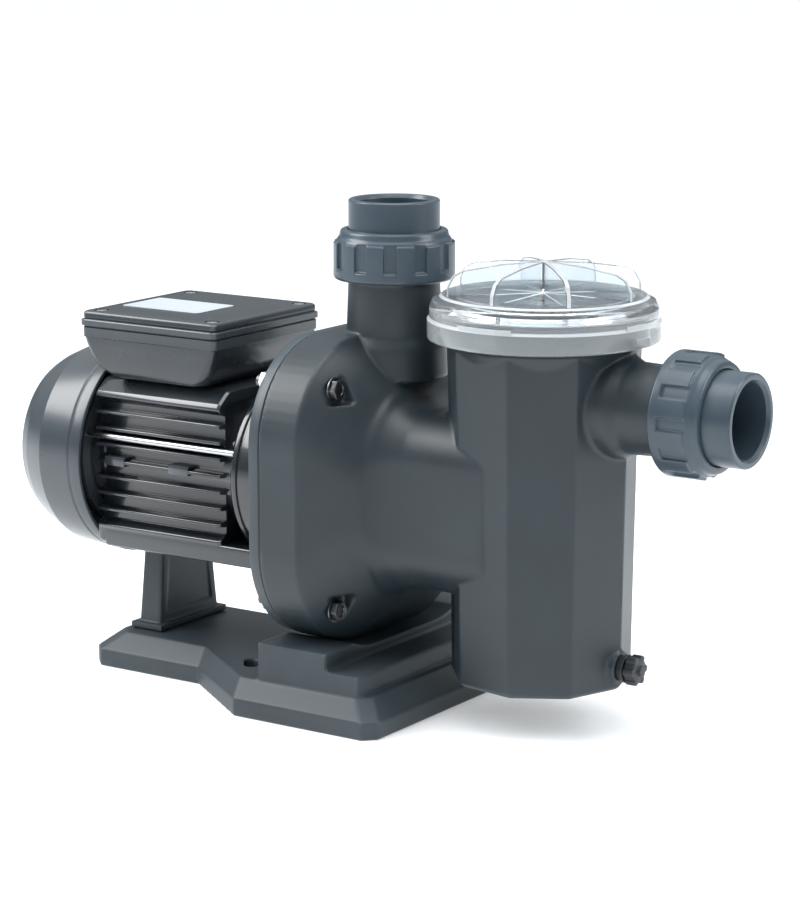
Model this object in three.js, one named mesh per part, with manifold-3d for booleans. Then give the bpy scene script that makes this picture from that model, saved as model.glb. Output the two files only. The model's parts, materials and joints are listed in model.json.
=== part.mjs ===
// Self-priming pool pump: base, wet end with strainer pot, pipe unions and a finned electric motor.
// Units are millimetres. +Z is up and the motor shaft runs along X. The origin is on the surface
// that the base rests on, straight below the axis of the upright discharge pipe.
import * as THREE from 'three';
import { mergeVertices, toCreasedNormals } from 'three/addons/utils/BufferGeometryUtils.js';
import Module from 'manifold-3d';

const wasm = await Module();
wasm.setup();

// ---- driving dimensions -------------------------------------------------------------------
const GAP = 0.3; // space kept between pieces that touch
const SEAL_SIDES = 4;
const FLATNESS = 0.02; // faces this close to one plane are joined
const SHAFT_Z = 150; // height of the motor shaft
const SHAFT_R = 8.4;

const POT_X = 119; // upright axis of the strainer pot
const POT_FLOOR = 29;
const POT_BORE = 54;
const POT_LEDGE = 252; // shelf that the basket hangs on
const NECK_R = 68.5;
const NECK_TOP = 276;
const COLLAR_TOP = 260.3;
const POT_SIDES = 9;

const VOLUTE_HALF = 105; // half the width of the rounded square volute
const VOLUTE_CORNER = 70;
const PLATE_BACK = -48; // back of the seal plate
const PLATE_FRONT = -39;
const BAND_FRONT = -8;
const CHAMBER_R = 90;
const CHAMBER_MOUTH_R = 78; // the chamber narrows inside the cone
const CHAMBER_FRONT = 14;
const THROAT_WALL = 22; // front of the wall between the impeller chamber and the tube
const THROAT_R = 34.5;
const TUBE_HALF_W = 59.3;
const TUBE_HALF_H = 60;
const TUBE_Z = 147;
const TUBE_BORE = 52;
const BOLT_Y = 75;
const BOLT_DZ = 75.5;

const PIPE_BORE = 25; // glued socket for a 50 mm pipe
const SOCKET_R = 31;
const NUT_R = 41.3;
const NUT_LUGS = 12;
const SUCTION_Z = 221;
const SUCTION_NUT = 219; // back of the suction nut along X
const DISCHARGE_NUT = 291; // underside of the discharge nut along Z
const PORT_REACH = 21; // how far a port runs into its nut
const NUT_LENGTH = 34;
const UNION_REACH = 54; // nut back to the socket's open end

const LID_R = 77.3;
const LID_BOTTOM = 260.8;
const LID_SEAT = 279.7; // underside of the lid, on its seal
const LID_TOP = 290;
const LID_RIBS = 8;

const MOTOR_HALF = 59;
const MOTOR_FRONT = -95; // finned housing, end towards the pump
const MOTOR_REAR = -226; // reaches into the cowl's mouth
const FIN_FRONT = -107;
const STATOR_R = 47;
const COWL_R = 76.7;
const COWL_FRONT = -218;
const COWL_REAR = -293;

const DRAIN_Z = 45;
const DRAIN_FACE = POT_X + 62.6; // end of the drain's boss

const BASE_SKIRT = 12;
const BASE_DECK = 24;
const BASE_WALL = 4;
const SLOT_X = -75; // hold-down slots behind the cradle
const SLOT_Y = 66;
const SLOT_TURN = 53;
const POST_X = -190;
const POST_TOP = 84;
const PAD_TOP = 88;

// ---- materials ----------------------------------------------------------------------------
const MATERIALS = {
  bodyPlastic: { color: 0x3a434b, roughness: 0.5, metalness: 0 },
  basePlastic: { color: 0x363d44, roughness: 0.6, metalness: 0 },
  unionPlastic: { color: 0x4b5964, roughness: 0.42, metalness: 0 },
  clearPlastic: { color: 0xdfe8ec, roughness: 0.06, metalness: 0 },
  basketPlastic: { color: 0xd6d9d6, roughness: 0.5, metalness: 0 },
  innerPlastic: { color: 0x23272b, roughness: 0.5, metalness: 0 },
  motorPaint: { color: 0x101316, roughness: 0.2, metalness: 0.2 },
  cowlPlastic: { color: 0x2b333b, roughness: 0.32, metalness: 0 },
  boxPlastic: { color: 0x20262b, roughness: 0.28, metalness: 0 },
  labelFilm: { color: 0xe9edee, roughness: 0.4, metalness: 0 },
  rubber: { color: 0x15171a, roughness: 0.75, metalness: 0 },
  steel: { color: 0xb9bec2, roughness: 0.3, metalness: 1 },
  copper: { color: 0xa5552b, roughness: 0.4, metalness: 1 },
  laminations: { color: 0x6f7478, roughness: 0.5, metalness: 1 },
  ceramic: { color: 0xe6e2d6, roughness: 0.25, metalness: 0 },
};

// ---- geometry helpers ---------------------------------------------------------------------

/** Volume inside an indexed mesh, positive when its faces point out. */
function signedVolume(position, index) {
  const a = new THREE.Vector3();
  const b = new THREE.Vector3();
  const c = new THREE.Vector3();
  let total = 0;
  for (let i = 0; i < index.length; i += 3) {
    a.fromArray(position, 3 * index[i]);
    b.fromArray(position, 3 * index[i + 1]);
    c.fromArray(position, 3 * index[i + 2]);
    total += a.dot(b.cross(c)) / 6;
  }
  return total;
}

/** Turns a closed three.js geometry into a manifold solid. */
function solid(geometry) {
  const bare = geometry.clone();
  bare.deleteAttribute('normal');
  bare.deleteAttribute('uv');
  const merged = mergeVertices(bare, 1e-4);
  const position = merged.attributes.position.array;
  const kept = [];
  const source = merged.index.array;
  for (let i = 0; i < source.length; i += 3) {
    const [a, b, c] = [source[i], source[i + 1], source[i + 2]];
    if (a !== b && b !== c && c !== a) kept.push(a, b, c);
  }
  if (signedVolume(position, kept) < 0) kept.reverse();
  const vertProperties = new Float32Array(position);
  const triVerts = new Uint32Array(kept);
  return new wasm.Manifold(new wasm.Mesh({ numProp: 3, vertProperties, triVerts }));
}

/** Turns local Z into world X, with local X and Y as world Y and Z. */
function alongX(geometry) {
  const turn = new THREE.Matrix4();
  turn.makeBasis(new THREE.Vector3(0, 1, 0), new THREE.Vector3(0, 0, 1), new THREE.Vector3(1, 0, 0));
  return geometry.applyMatrix4(turn);
}

/** Solid of revolution about an upright axis from [radius, height] pairs. */
function turnedZ(profile, segments, x = 0, y = 0) {
  const points = profile.map(([r, h]) => new THREE.Vector2(r, h));
  const lathe = new THREE.LatheGeometry(points, segments).rotateX(Math.PI / 2);
  return solid(lathe.translate(x, y, 0));
}

/** Solid of revolution about a line along X from [radius, x] pairs. */
function turnedX(profile, segments, y = 0, z = SHAFT_Z) {
  const points = profile.map(([r, h]) => new THREE.Vector2(r, h));
  const lathe = new THREE.LatheGeometry(points, segments).rotateX(Math.PI / 2);
  return solid(alongX(lathe).translate(0, y, z));
}

function rodX(radius, x0, x1, y = 0, z = SHAFT_Z, segments = 24) {
  return turnedX([[0, x0], [radius, x0], [radius, x1], [0, x1]], segments, y, z);
}

function rodZ(radius, z0, z1, x = 0, y = 0, segments = 24) {
  return turnedZ([[0, z0], [radius, z0], [radius, z1], [0, z1]], segments, x, y);
}

/** Ring of rectangular section about a line along X. */
function ringX(inner, outer, x0, x1, segments = 24, y = 0, z = SHAFT_Z) {
  return turnedX([[inner, x0], [outer, x0], [outer, x1], [inner, x1], [inner, x0]], segments, y, z);
}

function ringZ(inner, outer, z0, z1, segments = 24, x = 0, y = 0) {
  return turnedZ([[inner, z0], [outer, z0], [outer, z1], [inner, z1], [inner, z0]], segments, x, y);
}

/** Closed profile of a seal's simplified section. */
function sealProfile(radius, along, thickness) {
  const profile = [];
  for (let i = 0; i <= SEAL_SIDES; i += 1) {
    const angle = (-2 * Math.PI * i) / SEAL_SIDES;
    const out = (thickness / 2) * Math.cos(angle);
    profile.push([radius + out, along - (thickness / 2) * Math.sin(angle)]);
  }
  return profile;
}

function box(x0, x1, y0, y1, z0, z1) {
  const geometry = new THREE.BoxGeometry(x1 - x0, y1 - y0, z1 - z0);
  return solid(geometry.translate((x0 + x1) / 2, (y0 + y1) / 2, (z0 + z1) / 2));
}

function polygonShape(points) {
  return new THREE.Shape(points.map(([x, y]) => new THREE.Vector2(x, y)));
}

/** Rectangle with round corners, centred on its own axes. */
function roundedRect(halfW, halfH, r) {
  const shape = new THREE.Shape();
  shape.absarc(halfW - r, halfH - r, r, 0, Math.PI / 2);
  shape.absarc(-halfW + r, halfH - r, r, Math.PI / 2, Math.PI);
  shape.absarc(-halfW + r, -halfH + r, r, Math.PI, 1.5 * Math.PI);
  shape.absarc(halfW - r, -halfH + r, r, 1.5 * Math.PI, 2 * Math.PI);
  return shape;
}

/** Extrudes a shape drawn in Y and Z along X. */
function prismX(shape, x0, x1, curveSegments = 8) {
  const options = { depth: x1 - x0, bevelEnabled: false, curveSegments };
  return solid(alongX(new THREE.ExtrudeGeometry(shape, options)).translate(x0, 0, 0));
}

/** Extrudes a shape drawn in X and Y upwards. */
function prismZ(shape, z0, z1, curveSegments = 8) {
  const options = { depth: z1 - z0, bevelEnabled: false, curveSegments };
  return solid(new THREE.ExtrudeGeometry(shape, options).translate(0, 0, z0));
}

/** Triangles that fill a convex ring, fanned from its first point. */
function fanTriangles(ring) {
  return Array.from({ length: ring.length - 2 }, (_, i) => [0, i + 1, i + 2]);
}

/** Triangles that fill a level ring with hollow corners, turning the same way as the ring does. */
function levelTriangles(ring) {
  const contour = ring.map(([x, y]) => new THREE.Vector2(x, y));
  const turnsLeft = THREE.ShapeUtils.area(contour) > 0;
  return THREE.ShapeUtils.triangulateShape(contour, []).map(([a, b, c]) => {
    const matches = THREE.ShapeUtils.area([contour[a], contour[b], contour[c]]) > 0 === turnsLeft;
    return matches ? [a, b, c] : [a, c, b];
  });
}

/** Skins closed rings that all have the same number of points, and caps both ends. */
function loft(rings, fill = fanTriangles) {
  const count = rings[0].length;
  const positions = rings.flat(2);
  const index = [];
  for (let k = 0; k + 1 < rings.length; k += 1) {
    for (let i = 0; i < count; i += 1) {
      const j = (i + 1) % count;
      const low = k * count;
      const high = low + count;
      index.push(low + i, low + j, high + j, low + i, high + j, high + i);
    }
  }
  const last = (rings.length - 1) * count;
  fill(rings[0]).forEach(([a, b, c]) => index.push(a, c, b));
  fill(rings[rings.length - 1]).forEach((triangle) => {
    index.push(...triangle.map((i) => last + i));
  });
  const geometry = new THREE.BufferGeometry();
  geometry.setAttribute('position', new THREE.Float32BufferAttribute(positions, 3));
  geometry.setIndex(index);
  return solid(geometry);
}

/** Distance from the centre of a rounded rectangle to its edge, in one direction. */
function reach(angle, halfW, halfH, corner) {
  const c = Math.abs(Math.cos(angle));
  const s = Math.abs(Math.sin(angle));
  const a = halfW - corner;
  const b = halfH - corner;
  if (c > 1e-9 && (halfW / c) * s <= b) return halfW / c;
  if (s > 1e-9 && (halfH / s) * c <= a) return halfH / s;
  const along = a * c + b * s;
  return along + Math.sqrt(along * along - a * a - b * b + corner * corner);
}

/** Ring of points round a rounded rectangle that stands across the shaft. */
function ringAcross(x, z, halfW, halfH, corner, count) {
  return Array.from({ length: count }, (_, i) => {
    const angle = (2 * Math.PI * i) / count;
    const r = reach(angle, halfW, halfH, corner);
    return [x, r * Math.cos(angle), z + r * Math.sin(angle)];
  });
}

const CORNERS = [[1, 1], [-1, 1], [-1, -1], [1, -1]];

/** Level ring of points round a rounded rectangle, shared out over its four corner arcs. */
function ringLevel(x, y, z, halfX, halfY, corner, count) {
  const perCorner = count / CORNERS.length;
  return CORNERS.flatMap(([sideX, sideY], quarter) => {
    const centreX = x + sideX * (halfX - corner);
    const centreY = y + sideY * (halfY - corner);
    return Array.from({ length: perCorner }, (_, i) => {
      const angle = (Math.PI / 2) * (quarter + i / (perCorner - 1));
      return [centreX + corner * Math.cos(angle), centreY + corner * Math.sin(angle), z];
    });
  });
}

function union(...parts) {
  return parts.reduce((sum, part) => sum.add(part));
}

function cut(body, ...tools) {
  return tools.reduce((left, tool) => left.subtract(tool), body);
}

/** Same solid turned about the line along X at shaft height. */
function spunX(part, degrees) {
  return part.translate([0, 0, -SHAFT_Z]).rotate([degrees, 0, 0]).translate([0, 0, SHAFT_Z]);
}

function spunZ(part, degrees, x = 0, y = 0) {
  return part.translate([-x, -y, 0]).rotate([0, 0, degrees]).translate([x, y, 0]);
}

function copies(count, place) {
  return Array.from({ length: count }, (_, i) => place(i));
}

// ---- base ---------------------------------------------------------------------------------

/** Floor plan of the base: a wide front under the wet end and a narrow tail under the motor. */
function basePlan(inset) {
  const wide = 111 - inset;
  const narrow = 63 - inset;
  const front = 57 - inset;
  const rear = -222 + inset;
  const flareFront = -57 - 0.3 * inset;
  const flareRear = -124 - 0.3 * inset;
  const clip = 9;
  const half = [
    [rear, narrow - clip], [rear + clip, narrow], [flareRear, narrow], [flareFront, wide],
    [front - clip, wide], [front, wide - clip],
  ];
  const other = half.map(([x, y]) => [x, -y]).reverse();
  return [...half, ...other].reverse();
}

function atHeight(plan, z) {
  return plan.map(([x, y]) => [x, y, z]);
}

function baseBlocks() {
  const rear = box(-46, 10, -97.5, 97.5, BASE_DECK - 2, 50);
  const front = box(9, 36, -97.5, 97.5, BASE_DECK - 2, 38);
  return union(rear, front);
}

function boltSlots() {
  return [-1, 1].map((side) => {
    const slot = prismZ(roundedRect(10, 5, 4), -1, BASE_DECK + 2, 3);
    return slot.rotate([0, 0, side * SLOT_TURN]).translate([SLOT_X, side * SLOT_Y, 0]);
  });
}

function baseStand() {
  const outside = loft([
    atHeight(basePlan(0), 0), atHeight(basePlan(0), BASE_SKIRT), atHeight(basePlan(14), BASE_DECK),
  ], levelTriangles);
  const hollow = loft([
    atHeight(basePlan(BASE_WALL), -1), atHeight(basePlan(BASE_WALL), BASE_SKIRT - 3),
    atHeight(basePlan(14 + BASE_WALL), BASE_DECK - BASE_WALL),
  ], levelTriangles);
  const ribs = union(
    box(-230, 60, -4, 4, -2, BASE_DECK), box(-4, 4, -115, 115, -2, BASE_DECK),
    box(-120, -112, -115, 115, -2, BASE_DECK),
    ...[-SLOT_Y, SLOT_Y].map((y) => box(SLOT_X - 12, SLOT_X + 12, y - 12, y + 12, -2, BASE_DECK)),
  );
  const shell = cut(outside, hollow.subtract(ribs));
  const seat = roundedRect(VOLUTE_HALF + 0.6, VOLUTE_HALF + 0.6, VOLUTE_CORNER);
  const cradle = prismX(seat, PLATE_BACK - 2, 60, 8);
  const cradled = baseBlocks().subtract(cradle.translate([0, 0, SHAFT_Z]));
  return cut(union(shell, cradled), ...boltSlots());
}

function supportPost() {
  const foot = box(POST_X - 14, POST_X + 14, -39, 39, BASE_DECK + GAP, BASE_DECK + 5);
  const leg = loft([
    ringLevel(POST_X, 0, BASE_DECK + 4, 10, 34.5, 3, 24), ringLevel(POST_X, 0, POST_TOP, 8.5, 29, 3, 24),
  ]);
  return union(foot, leg);
}

function supportPad() {
  return loft([
    ringLevel(POST_X, 0, POST_TOP + GAP, 9, 30, 3, 20), ringLevel(POST_X, 0, PAD_TOP - GAP, 9, 30, 3, 20),
  ]);
}

// ---- wet end ------------------------------------------------------------------------------

function voluteOutside() {
  const count = 36;
  const stations = [
    [PLATE_FRONT + GAP, SHAFT_Z, 105, 105, 70], [BAND_FRONT, SHAFT_Z, 105, 105, 70],
    [-5, SHAFT_Z, 102.5, 102.5, 68], [19, SHAFT_Z, 79, 79, 66], [26, SHAFT_Z - 1, 70, 71, 50],
    [32, SHAFT_Z - 2, 64, 65, 38], [42, TUBE_Z, 60.5, 61, 31],
    [54, TUBE_Z, TUBE_HALF_W, TUBE_HALF_H, 30], [POT_X - 10, TUBE_Z, TUBE_HALF_W, TUBE_HALF_H, 30],
  ];
  return loft(stations.map(([x, z, w, h, corner]) => ringAcross(x, z, w, h, corner, count)));
}

function nonagonRing(radius, z) {
  return copies(POT_SIDES, (i) => {
    const angle = (2 * Math.PI * i) / POT_SIDES;
    return [POT_X + radius * Math.cos(angle), radius * Math.sin(angle), z];
  });
}

function potOutside() {
  const sides = loft([
    nonagonRing(57.5, POT_FLOOR), nonagonRing(61.5, POT_FLOOR + 3), nonagonRing(63.5, 180),
    nonagonRing(66, 258),
  ]);
  const collar = turnedZ([
    [0, 236], [57.5, 236], [62, 250], [66, 258], [73, COLLAR_TOP - 0.8], [73, COLLAR_TOP],
    [NECK_R, COLLAR_TOP], [NECK_R, NECK_TOP], [0, NECK_TOP],
  ], 27, POT_X);
  return union(sides, collar);
}

/** Neck lugs that the lid's own lugs turn under. */
function neckLugs() {
  return copies(4, (i) => {
    const lug = box(POT_X + NECK_R - 2, POT_X + NECK_R + 2.4, -9, 9, 268, 272);
    return spunZ(lug, 45 + 90 * i, POT_X);
  });
}

function suctionPort() {
  const end = SUCTION_NUT + PORT_REACH;
  return turnedX([
    [0, POT_X + 40], [36, POT_X + 40], [34, POT_X + 64], [30.5, POT_X + 71], [29.7, SUCTION_NUT - 1],
    [35, SUCTION_NUT + 1], [35, end], [0, end],
  ], 24, 0, SUCTION_Z);
}

function dischargePort() {
  const end = DISCHARGE_NUT + PORT_REACH;
  return turnedZ([
    [0, 225], [37, 225], [35.5, 246], [32.5, 254], [31.2, DISCHARGE_NUT - 1],
    [35, DISCHARGE_NUT + 1], [35, end], [0, end],
  ], 24);
}

function boltPlaces() {
  return CORNERS.map(([y, z]) => [y * BOLT_Y, SHAFT_Z + z * BOLT_DZ]);
}

function boltPocket(y, z) {
  return prismX(roundedRect(10.5, 10.5, 3), 2, 40, 2).translate([0, y, z]);
}

function drainBoss() {
  return rodX(11, POT_X + 50, DRAIN_FACE, 0, DRAIN_Z, 24);
}

function pumpBody() {
  const outside = union(
    voluteOutside(), potOutside(), suctionPort(), dischargePort(), drainBoss(), ...neckLugs(),
  );
  const potSpace = turnedZ([
    [0, POT_FLOOR + 7], [POT_BORE - 6, POT_FLOOR + 7], [POT_BORE, POT_FLOOR + 13], [POT_BORE, POT_LEDGE],
    [58, POT_LEDGE], [58, NECK_TOP + 1], [0, NECK_TOP + 1],
  ], 27, POT_X);
  const chamber = turnedX([
    [0, PLATE_FRONT - 1], [CHAMBER_R, PLATE_FRONT - 1], [CHAMBER_R, -6],
    [CHAMBER_MOUTH_R, CHAMBER_FRONT - 6], [CHAMBER_MOUTH_R, CHAMBER_FRONT], [0, CHAMBER_FRONT],
  ], 24);
  const throat = rodX(THROAT_R, CHAMBER_FRONT - 1, THROAT_WALL + 1, 0, SHAFT_Z, 20);
  const tube = rodX(TUBE_BORE, THROAT_WALL, POT_X, 0, TUBE_Z, 24);
  const suction = rodX(PIPE_BORE, POT_X + 40, 300, 0, SUCTION_Z, 20);
  const discharge = rodZ(PIPE_BORE, 222, 330, 0, 0, 20);
  const drain = rodX(6.4, POT_X + 40, DRAIN_FACE + 2, 0, DRAIN_Z, 20);
  const pockets = boltPlaces().map(([y, z]) => boltPocket(y, z));
  const holes = boltPlaces().map(([y, z]) => rodX(4.6, -60, 10, y, z, 8));
  return cut(outside, potSpace, chamber, throat, tube, suction, discharge, drain, ...pockets, ...holes);
}

function sealPlate() {
  const outline = roundedRect(VOLUTE_HALF - 1, VOLUTE_HALF - 1, VOLUTE_CORNER);
  const plate = prismX(outline, PLATE_BACK, PLATE_FRONT, 6).translate([0, 0, SHAFT_Z]);
  const groove = ringX(93.5, 98.5, PLATE_FRONT - 3, PLATE_FRONT + 1, 24);
  const seat = rodX(17, PLATE_BACK + 3, PLATE_FRONT + 1);
  const shaftHole = rodX(11, PLATE_BACK - 1, PLATE_FRONT + 1);
  const holes = boltPlaces().map(([y, z]) => rodX(4.6, -60, 10, y, z, 8));
  return cut(plate, groove, seat, shaftHole, ...holes);
}

function housingSeal() {
  return turnedX(sealProfile(96, PLATE_FRONT - 1.45, 2.8), 24);
}

function diffuser() {
  const cover = turnedX([
    [30.4, 4], [76.5, 4], [76.5, 7], [33.8, 7], [33.8, 20], [30.4, 20], [30.4, 4],
  ], 24);
  const vanes = copies(8, (i) => {
    const vane = prismX(polygonShape([[62, 0], [64.5, -1.5], [75.3, 9], [73.6, 11.3]]), -30, 5);
    return spunX(vane.translate([0, 0, SHAFT_Z]), 45 * i);
  });
  return union(cover, ...vanes);
}

function impeller() {
  const hub = turnedX([
    [SHAFT_R + 0.2, -33], [16, -33], [16, -27], [58, -27], [58, -24], [20, -22], [13, -6],
    [SHAFT_R + 0.2, -6], [SHAFT_R + 0.2, -33],
  ], 20);
  const shroud = turnedX([
    [27, 1], [27, -6], [58, -12], [58, -9.5], [29.8, -3.5], [29.8, 1], [27, 1],
  ].reverse(), 20);
  const vanes = copies(6, (i) => {
    const blade = polygonShape([[24, 0], [26, -2.5], [42, 5], [55, 19], [53, 20.5], [40, 8]]);
    return spunX(prismX(blade, -25, -8).translate([0, 0, SHAFT_Z]), 60 * i);
  });
  return union(hub, shroud, ...vanes);
}

// ---- mechanical seal and rotor --------------------------------------------------------------

function motorShaft() {
  return turnedX([
    [0, -280], [SHAFT_R - 1.5, -280], [SHAFT_R - 1.5, -250], [SHAFT_R, -250], [SHAFT_R, -2], [0, -2],
  ], 24);
}

function coolingFan() {
  const hub = ringX(SHAFT_R - 1.2, 16, -272, -256, 24);
  const disc = ringX(15, 54, -259, -256, 24);
  const blades = copies(8, (i) => spunX(box(-272, -257, -1.2, 1.2, SHAFT_Z + 14, SHAFT_Z + 55), 45 * i));
  return union(hub, disc, ...blades);
}

// ---- motor ----------------------------------------------------------------------------------

/** Motor section: a rounded square with rows of cooling fins let into both sides. */
function motorSection() {
  const finPitch = 11.7;
  const finHalf = 1.2;
  const root = 51.5;
  const tip = 58.5;
  const right = [[MOTOR_HALF - 1, -62], [MOTOR_HALF - 1, -49], [MOTOR_HALF, -46.5], [root, -42.5]];
  for (let k = -3; k <= 3; k += 1) {
    const z = k * finPitch;
    right.push([root, z - finHalf - 0.5], [tip, z - finHalf], [tip, z + finHalf], [root, z + finHalf + 0.5]);
  }
  right.push([root, 42.5], [MOTOR_HALF, 46.5], [MOTOR_HALF - 2.5, 50], [47, MOTOR_HALF]);
  const left = right.map(([y, z]) => [-y, z]).reverse();
  return polygonShape([...right, ...left]);
}

function motorHousing() {
  const finned = prismX(motorSection(), MOTOR_REAR, FIN_FRONT).translate([0, 0, SHAFT_Z]);
  // The corners are turned down where the cowl slides over them.
  const corners = ringX(73, 90, MOTOR_REAR - 1, COWL_FRONT + 6, 32);
  const barrel = rodX(53, MOTOR_REAR, MOTOR_FRONT, 0, SHAFT_Z, 32);
  const rail = box(COWL_FRONT + 6, PLATE_BACK - 2, -MOTOR_HALF + 1, MOTOR_HALF - 1, PAD_TOP, 101.5);
  const bore = rodX(STATOR_R, MOTOR_REAR - 1, MOTOR_FRONT + 1, 0, SHAFT_Z, 28);
  const cableHole = rodZ(9, 190, 215, CABLE_X, 0, 16);
  const pads = [-200, -143].flatMap((x) => [-1, 1].map((side) => {
    const y = side * 55;
    return box(x - 9, x + 9, y - 4, y + 4, SHAFT_Z - 3, SHAFT_Z + 3.5);
  }));
  const rods = tieRodPlaces().map(([y, z]) => rodX(3.2, -240, -60, y, z, 8));
  const shieldRoom = rodX(67, MOTOR_FRONT, 0, 0, SHAFT_Z, 36);
  const base = union(cut(finned, corners), barrel, rail.subtract(shieldRoom), ...pads);
  return cut(base, bore, cableHole, ...rods);
}

function tieRodPlaces() {
  return [[-56, 17.5], [17.5, 56], [56, -17.5], [-17.5, -56]].map(([y, z]) => [y, SHAFT_Z + z]);
}

function tieRod(y, z) {
  const rod = rodX(2.3, MOTOR_REAR - 5.5, MOTOR_FRONT + 13, y, z, 10);
  const head = rodX(4.4, MOTOR_REAR - 9, MOTOR_REAR - 5.5 + 0.2, y, z, 6);
  return union(rod, head);
}

function driveShield() {
  const back = MOTOR_FRONT + GAP;
  const front = PLATE_BACK - GAP;
  const shell = turnedX([
    [STATOR_R, back], [62, back], [65.5, back + 3.5], [65.5, back + 7], [64.3, back + 8],
    [64.3, back + 9.5], [66.5, back + 11], [66.5, front], [11.5, front], [11.5, -54], [20.3, -54],
    [20.3, back + 12], [STATOR_R, back + 12], [STATOR_R, back],
  ].reverse(), 28);
  const rods = tieRodPlaces().map(([y, z]) => rodX(2.8, back - 5, -80, y, z, 8));
  return cut(shell, ...rods);
}

function rearShield() {
  const shell = turnedX([
    [17.8, MOTOR_REAR - 18], [22, MOTOR_REAR - 18], [22, MOTOR_REAR - 5], [62, MOTOR_REAR - 5],
    [62, MOTOR_REAR - GAP], [17.8, MOTOR_REAR - GAP], [17.8, MOTOR_REAR - 18],
  ].reverse(), 24);
  const rods = tieRodPlaces().map(([y, z]) => rodX(2.8, MOTOR_REAR - 20, MOTOR_REAR + 2, y, z, 8));
  return cut(shell, ...rods);
}

function fanCowl() {
  const outer = turnedX([
    [0, COWL_REAR], [30, COWL_REAR + 0.5], [46, COWL_REAR + 2], [58.5, COWL_REAR + 7],
    [65, COWL_REAR + 16.5], [73.6, COWL_REAR + 36], [76, COWL_FRONT - 12], [76, COWL_FRONT - 10],
    [COWL_R, COWL_FRONT - 9], [COWL_R, COWL_FRONT], [0, COWL_FRONT],
  ], 32);
  const inner = turnedX([
    [0, COWL_REAR + 3], [30, COWL_REAR + 3.5], [45, COWL_REAR + 5], [56, COWL_REAR + 9.5],
    [62.5, COWL_REAR + 18], [71.2, COWL_REAR + 36], [73.6, COWL_FRONT - 12], [74.4, COWL_FRONT + 1],
    [0, COWL_FRONT + 1],
  ], 32);
  const slots = [20, 36].map((r) => ringX(r, r + 9, COWL_REAR - 2, COWL_REAR + 8, 12));
  const spokes = union(
    ...[0, 60, 120].map((turn) => spunX(box(-300, -270, -2.5, 2.5, SHAFT_Z - 60, SHAFT_Z + 60), turn)),
  );
  return cut(outer, inner, ...slots.map((slot) => slot.subtract(spokes)));
}

// ---- terminal box -----------------------------------------------------------------------------

const BOX_BOTTOM = 209.3;
const BOX_RIM = 245.6;
const BOX_TOP = 257;
const LID_X = -166.5; // middle of the terminal box's lid
const CABLE_X = -165; // hole from the box down into the motor
const GLAND_X = -140;
const GLAND_Z = 232;

/** Outline levels of the terminal box: centre along X, height, half sizes and corner radius. */
const BOX_FLOOR = [-163, BOX_BOTTOM, 33, 50, 10];
const BOX_CURVE = [-164, BOX_BOTTOM + 3, 42, 57, 10];
const BOX_SIDES = [
  [-165.5, BOX_BOTTOM + 10, 51.5, 60, 8], [-166, BOX_BOTTOM + 22, 57, 61, 6],
  [-166.3, BOX_RIM, 59.7, 61.5, 5],
];
const BOX_WALL = 3;

function boxLoft(levels, inset) {
  return loft(levels.map(([x, z, halfX, halfY, corner]) => {
    return ringLevel(x, 0, z, halfX - inset, halfY - inset, Math.max(corner - inset, 2), 28);
  }));
}

function boxSpace() {
  const [x, z, ...sizes] = BOX_FLOOR;
  const [rimX, rimZ, ...rimSizes] = BOX_SIDES[2];
  const levels = [[x, z + BOX_WALL, ...sizes], ...BOX_SIDES.slice(0, 2), [rimX, rimZ + 1, ...rimSizes]];
  return boxLoft(levels, BOX_WALL);
}

function terminalBox() {
  const cowlRoom = rodX(COWL_R + 1.2, COWL_REAR, COWL_FRONT + 1, 0, SHAFT_Z, 32);
  const innerRoom = rodX(COWL_R + 4.2, COWL_REAR, COWL_FRONT + 4, 0, SHAFT_Z, 32);
  const outside = boxLoft([BOX_FLOOR, BOX_CURVE, ...BOX_SIDES], 0);
  const space = boxSpace().subtract(innerRoom);
  const cableHole = rodZ(8, 200, 220, CABLE_X, 0, 16);
  const glandHole = terminalGlandHole();
  const posts = boxScrewPlaces().map(([x, y]) => rodZ(5, BOX_BOTTOM + 12, BOX_RIM, x, y, 8));
  const shell = outside.subtract(cowlRoom).subtract(space);
  const within = union(...posts).intersect(outside);
  const screwHoles = boxScrewPlaces().map(([x, y]) => rodZ(2.2, BOX_RIM - 12, BOX_RIM + 2, x, y, 8));
  return cut(union(shell, within), cableHole, glandHole, ...screwHoles);
}

function terminalGlandHole() {
  const hole = new THREE.CylinderGeometry(8.3, 8.3, 20, 24);
  return solid(hole.translate(GLAND_X, 60, GLAND_Z));
}

function boxScrewPlaces() {
  return [-215, -117].flatMap((x) => [-51, 51].map((y) => [x, y]));
}

function boxLid() {
  const lid = loft([
    ringLevel(LID_X, 0, BOX_RIM + 1, 60.5, 62.5, 5, 28),
    ringLevel(LID_X, 0, BOX_RIM + 5.6, 60.5, 62.5, 5, 28),
    ringLevel(LID_X, 0, BOX_RIM + 6.2, 58.9, 60.9, 4, 28),
    ringLevel(LID_X, 0, BOX_TOP - 1.6, 58.9, 60.9, 4, 28),
    ringLevel(LID_X, 0, BOX_TOP, 57, 59, 3, 28),
  ]);
  const room = loft([
    ringLevel(LID_X, 0, BOX_RIM, 56.5, 58.5, 3, 28), ringLevel(LID_X, 0, BOX_TOP - 2.6, 56, 58, 3, 28),
  ]);
  const bosses = boxScrewPlaces().map(([x, y]) => rodZ(5.4, BOX_RIM + 1, BOX_TOP - 1, x, y, 8));
  const holes = boxScrewPlaces().map(([x, y]) => rodZ(2.6, BOX_RIM - 2, BOX_TOP + 2, x, y, 8));
  const sinks = boxScrewPlaces().map(([x, y]) => rodZ(5, BOX_TOP - 2.2, BOX_TOP + 2, x, y, 10));
  return cut(union(lid.subtract(room), ...bosses), ...holes, ...sinks);
}

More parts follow.
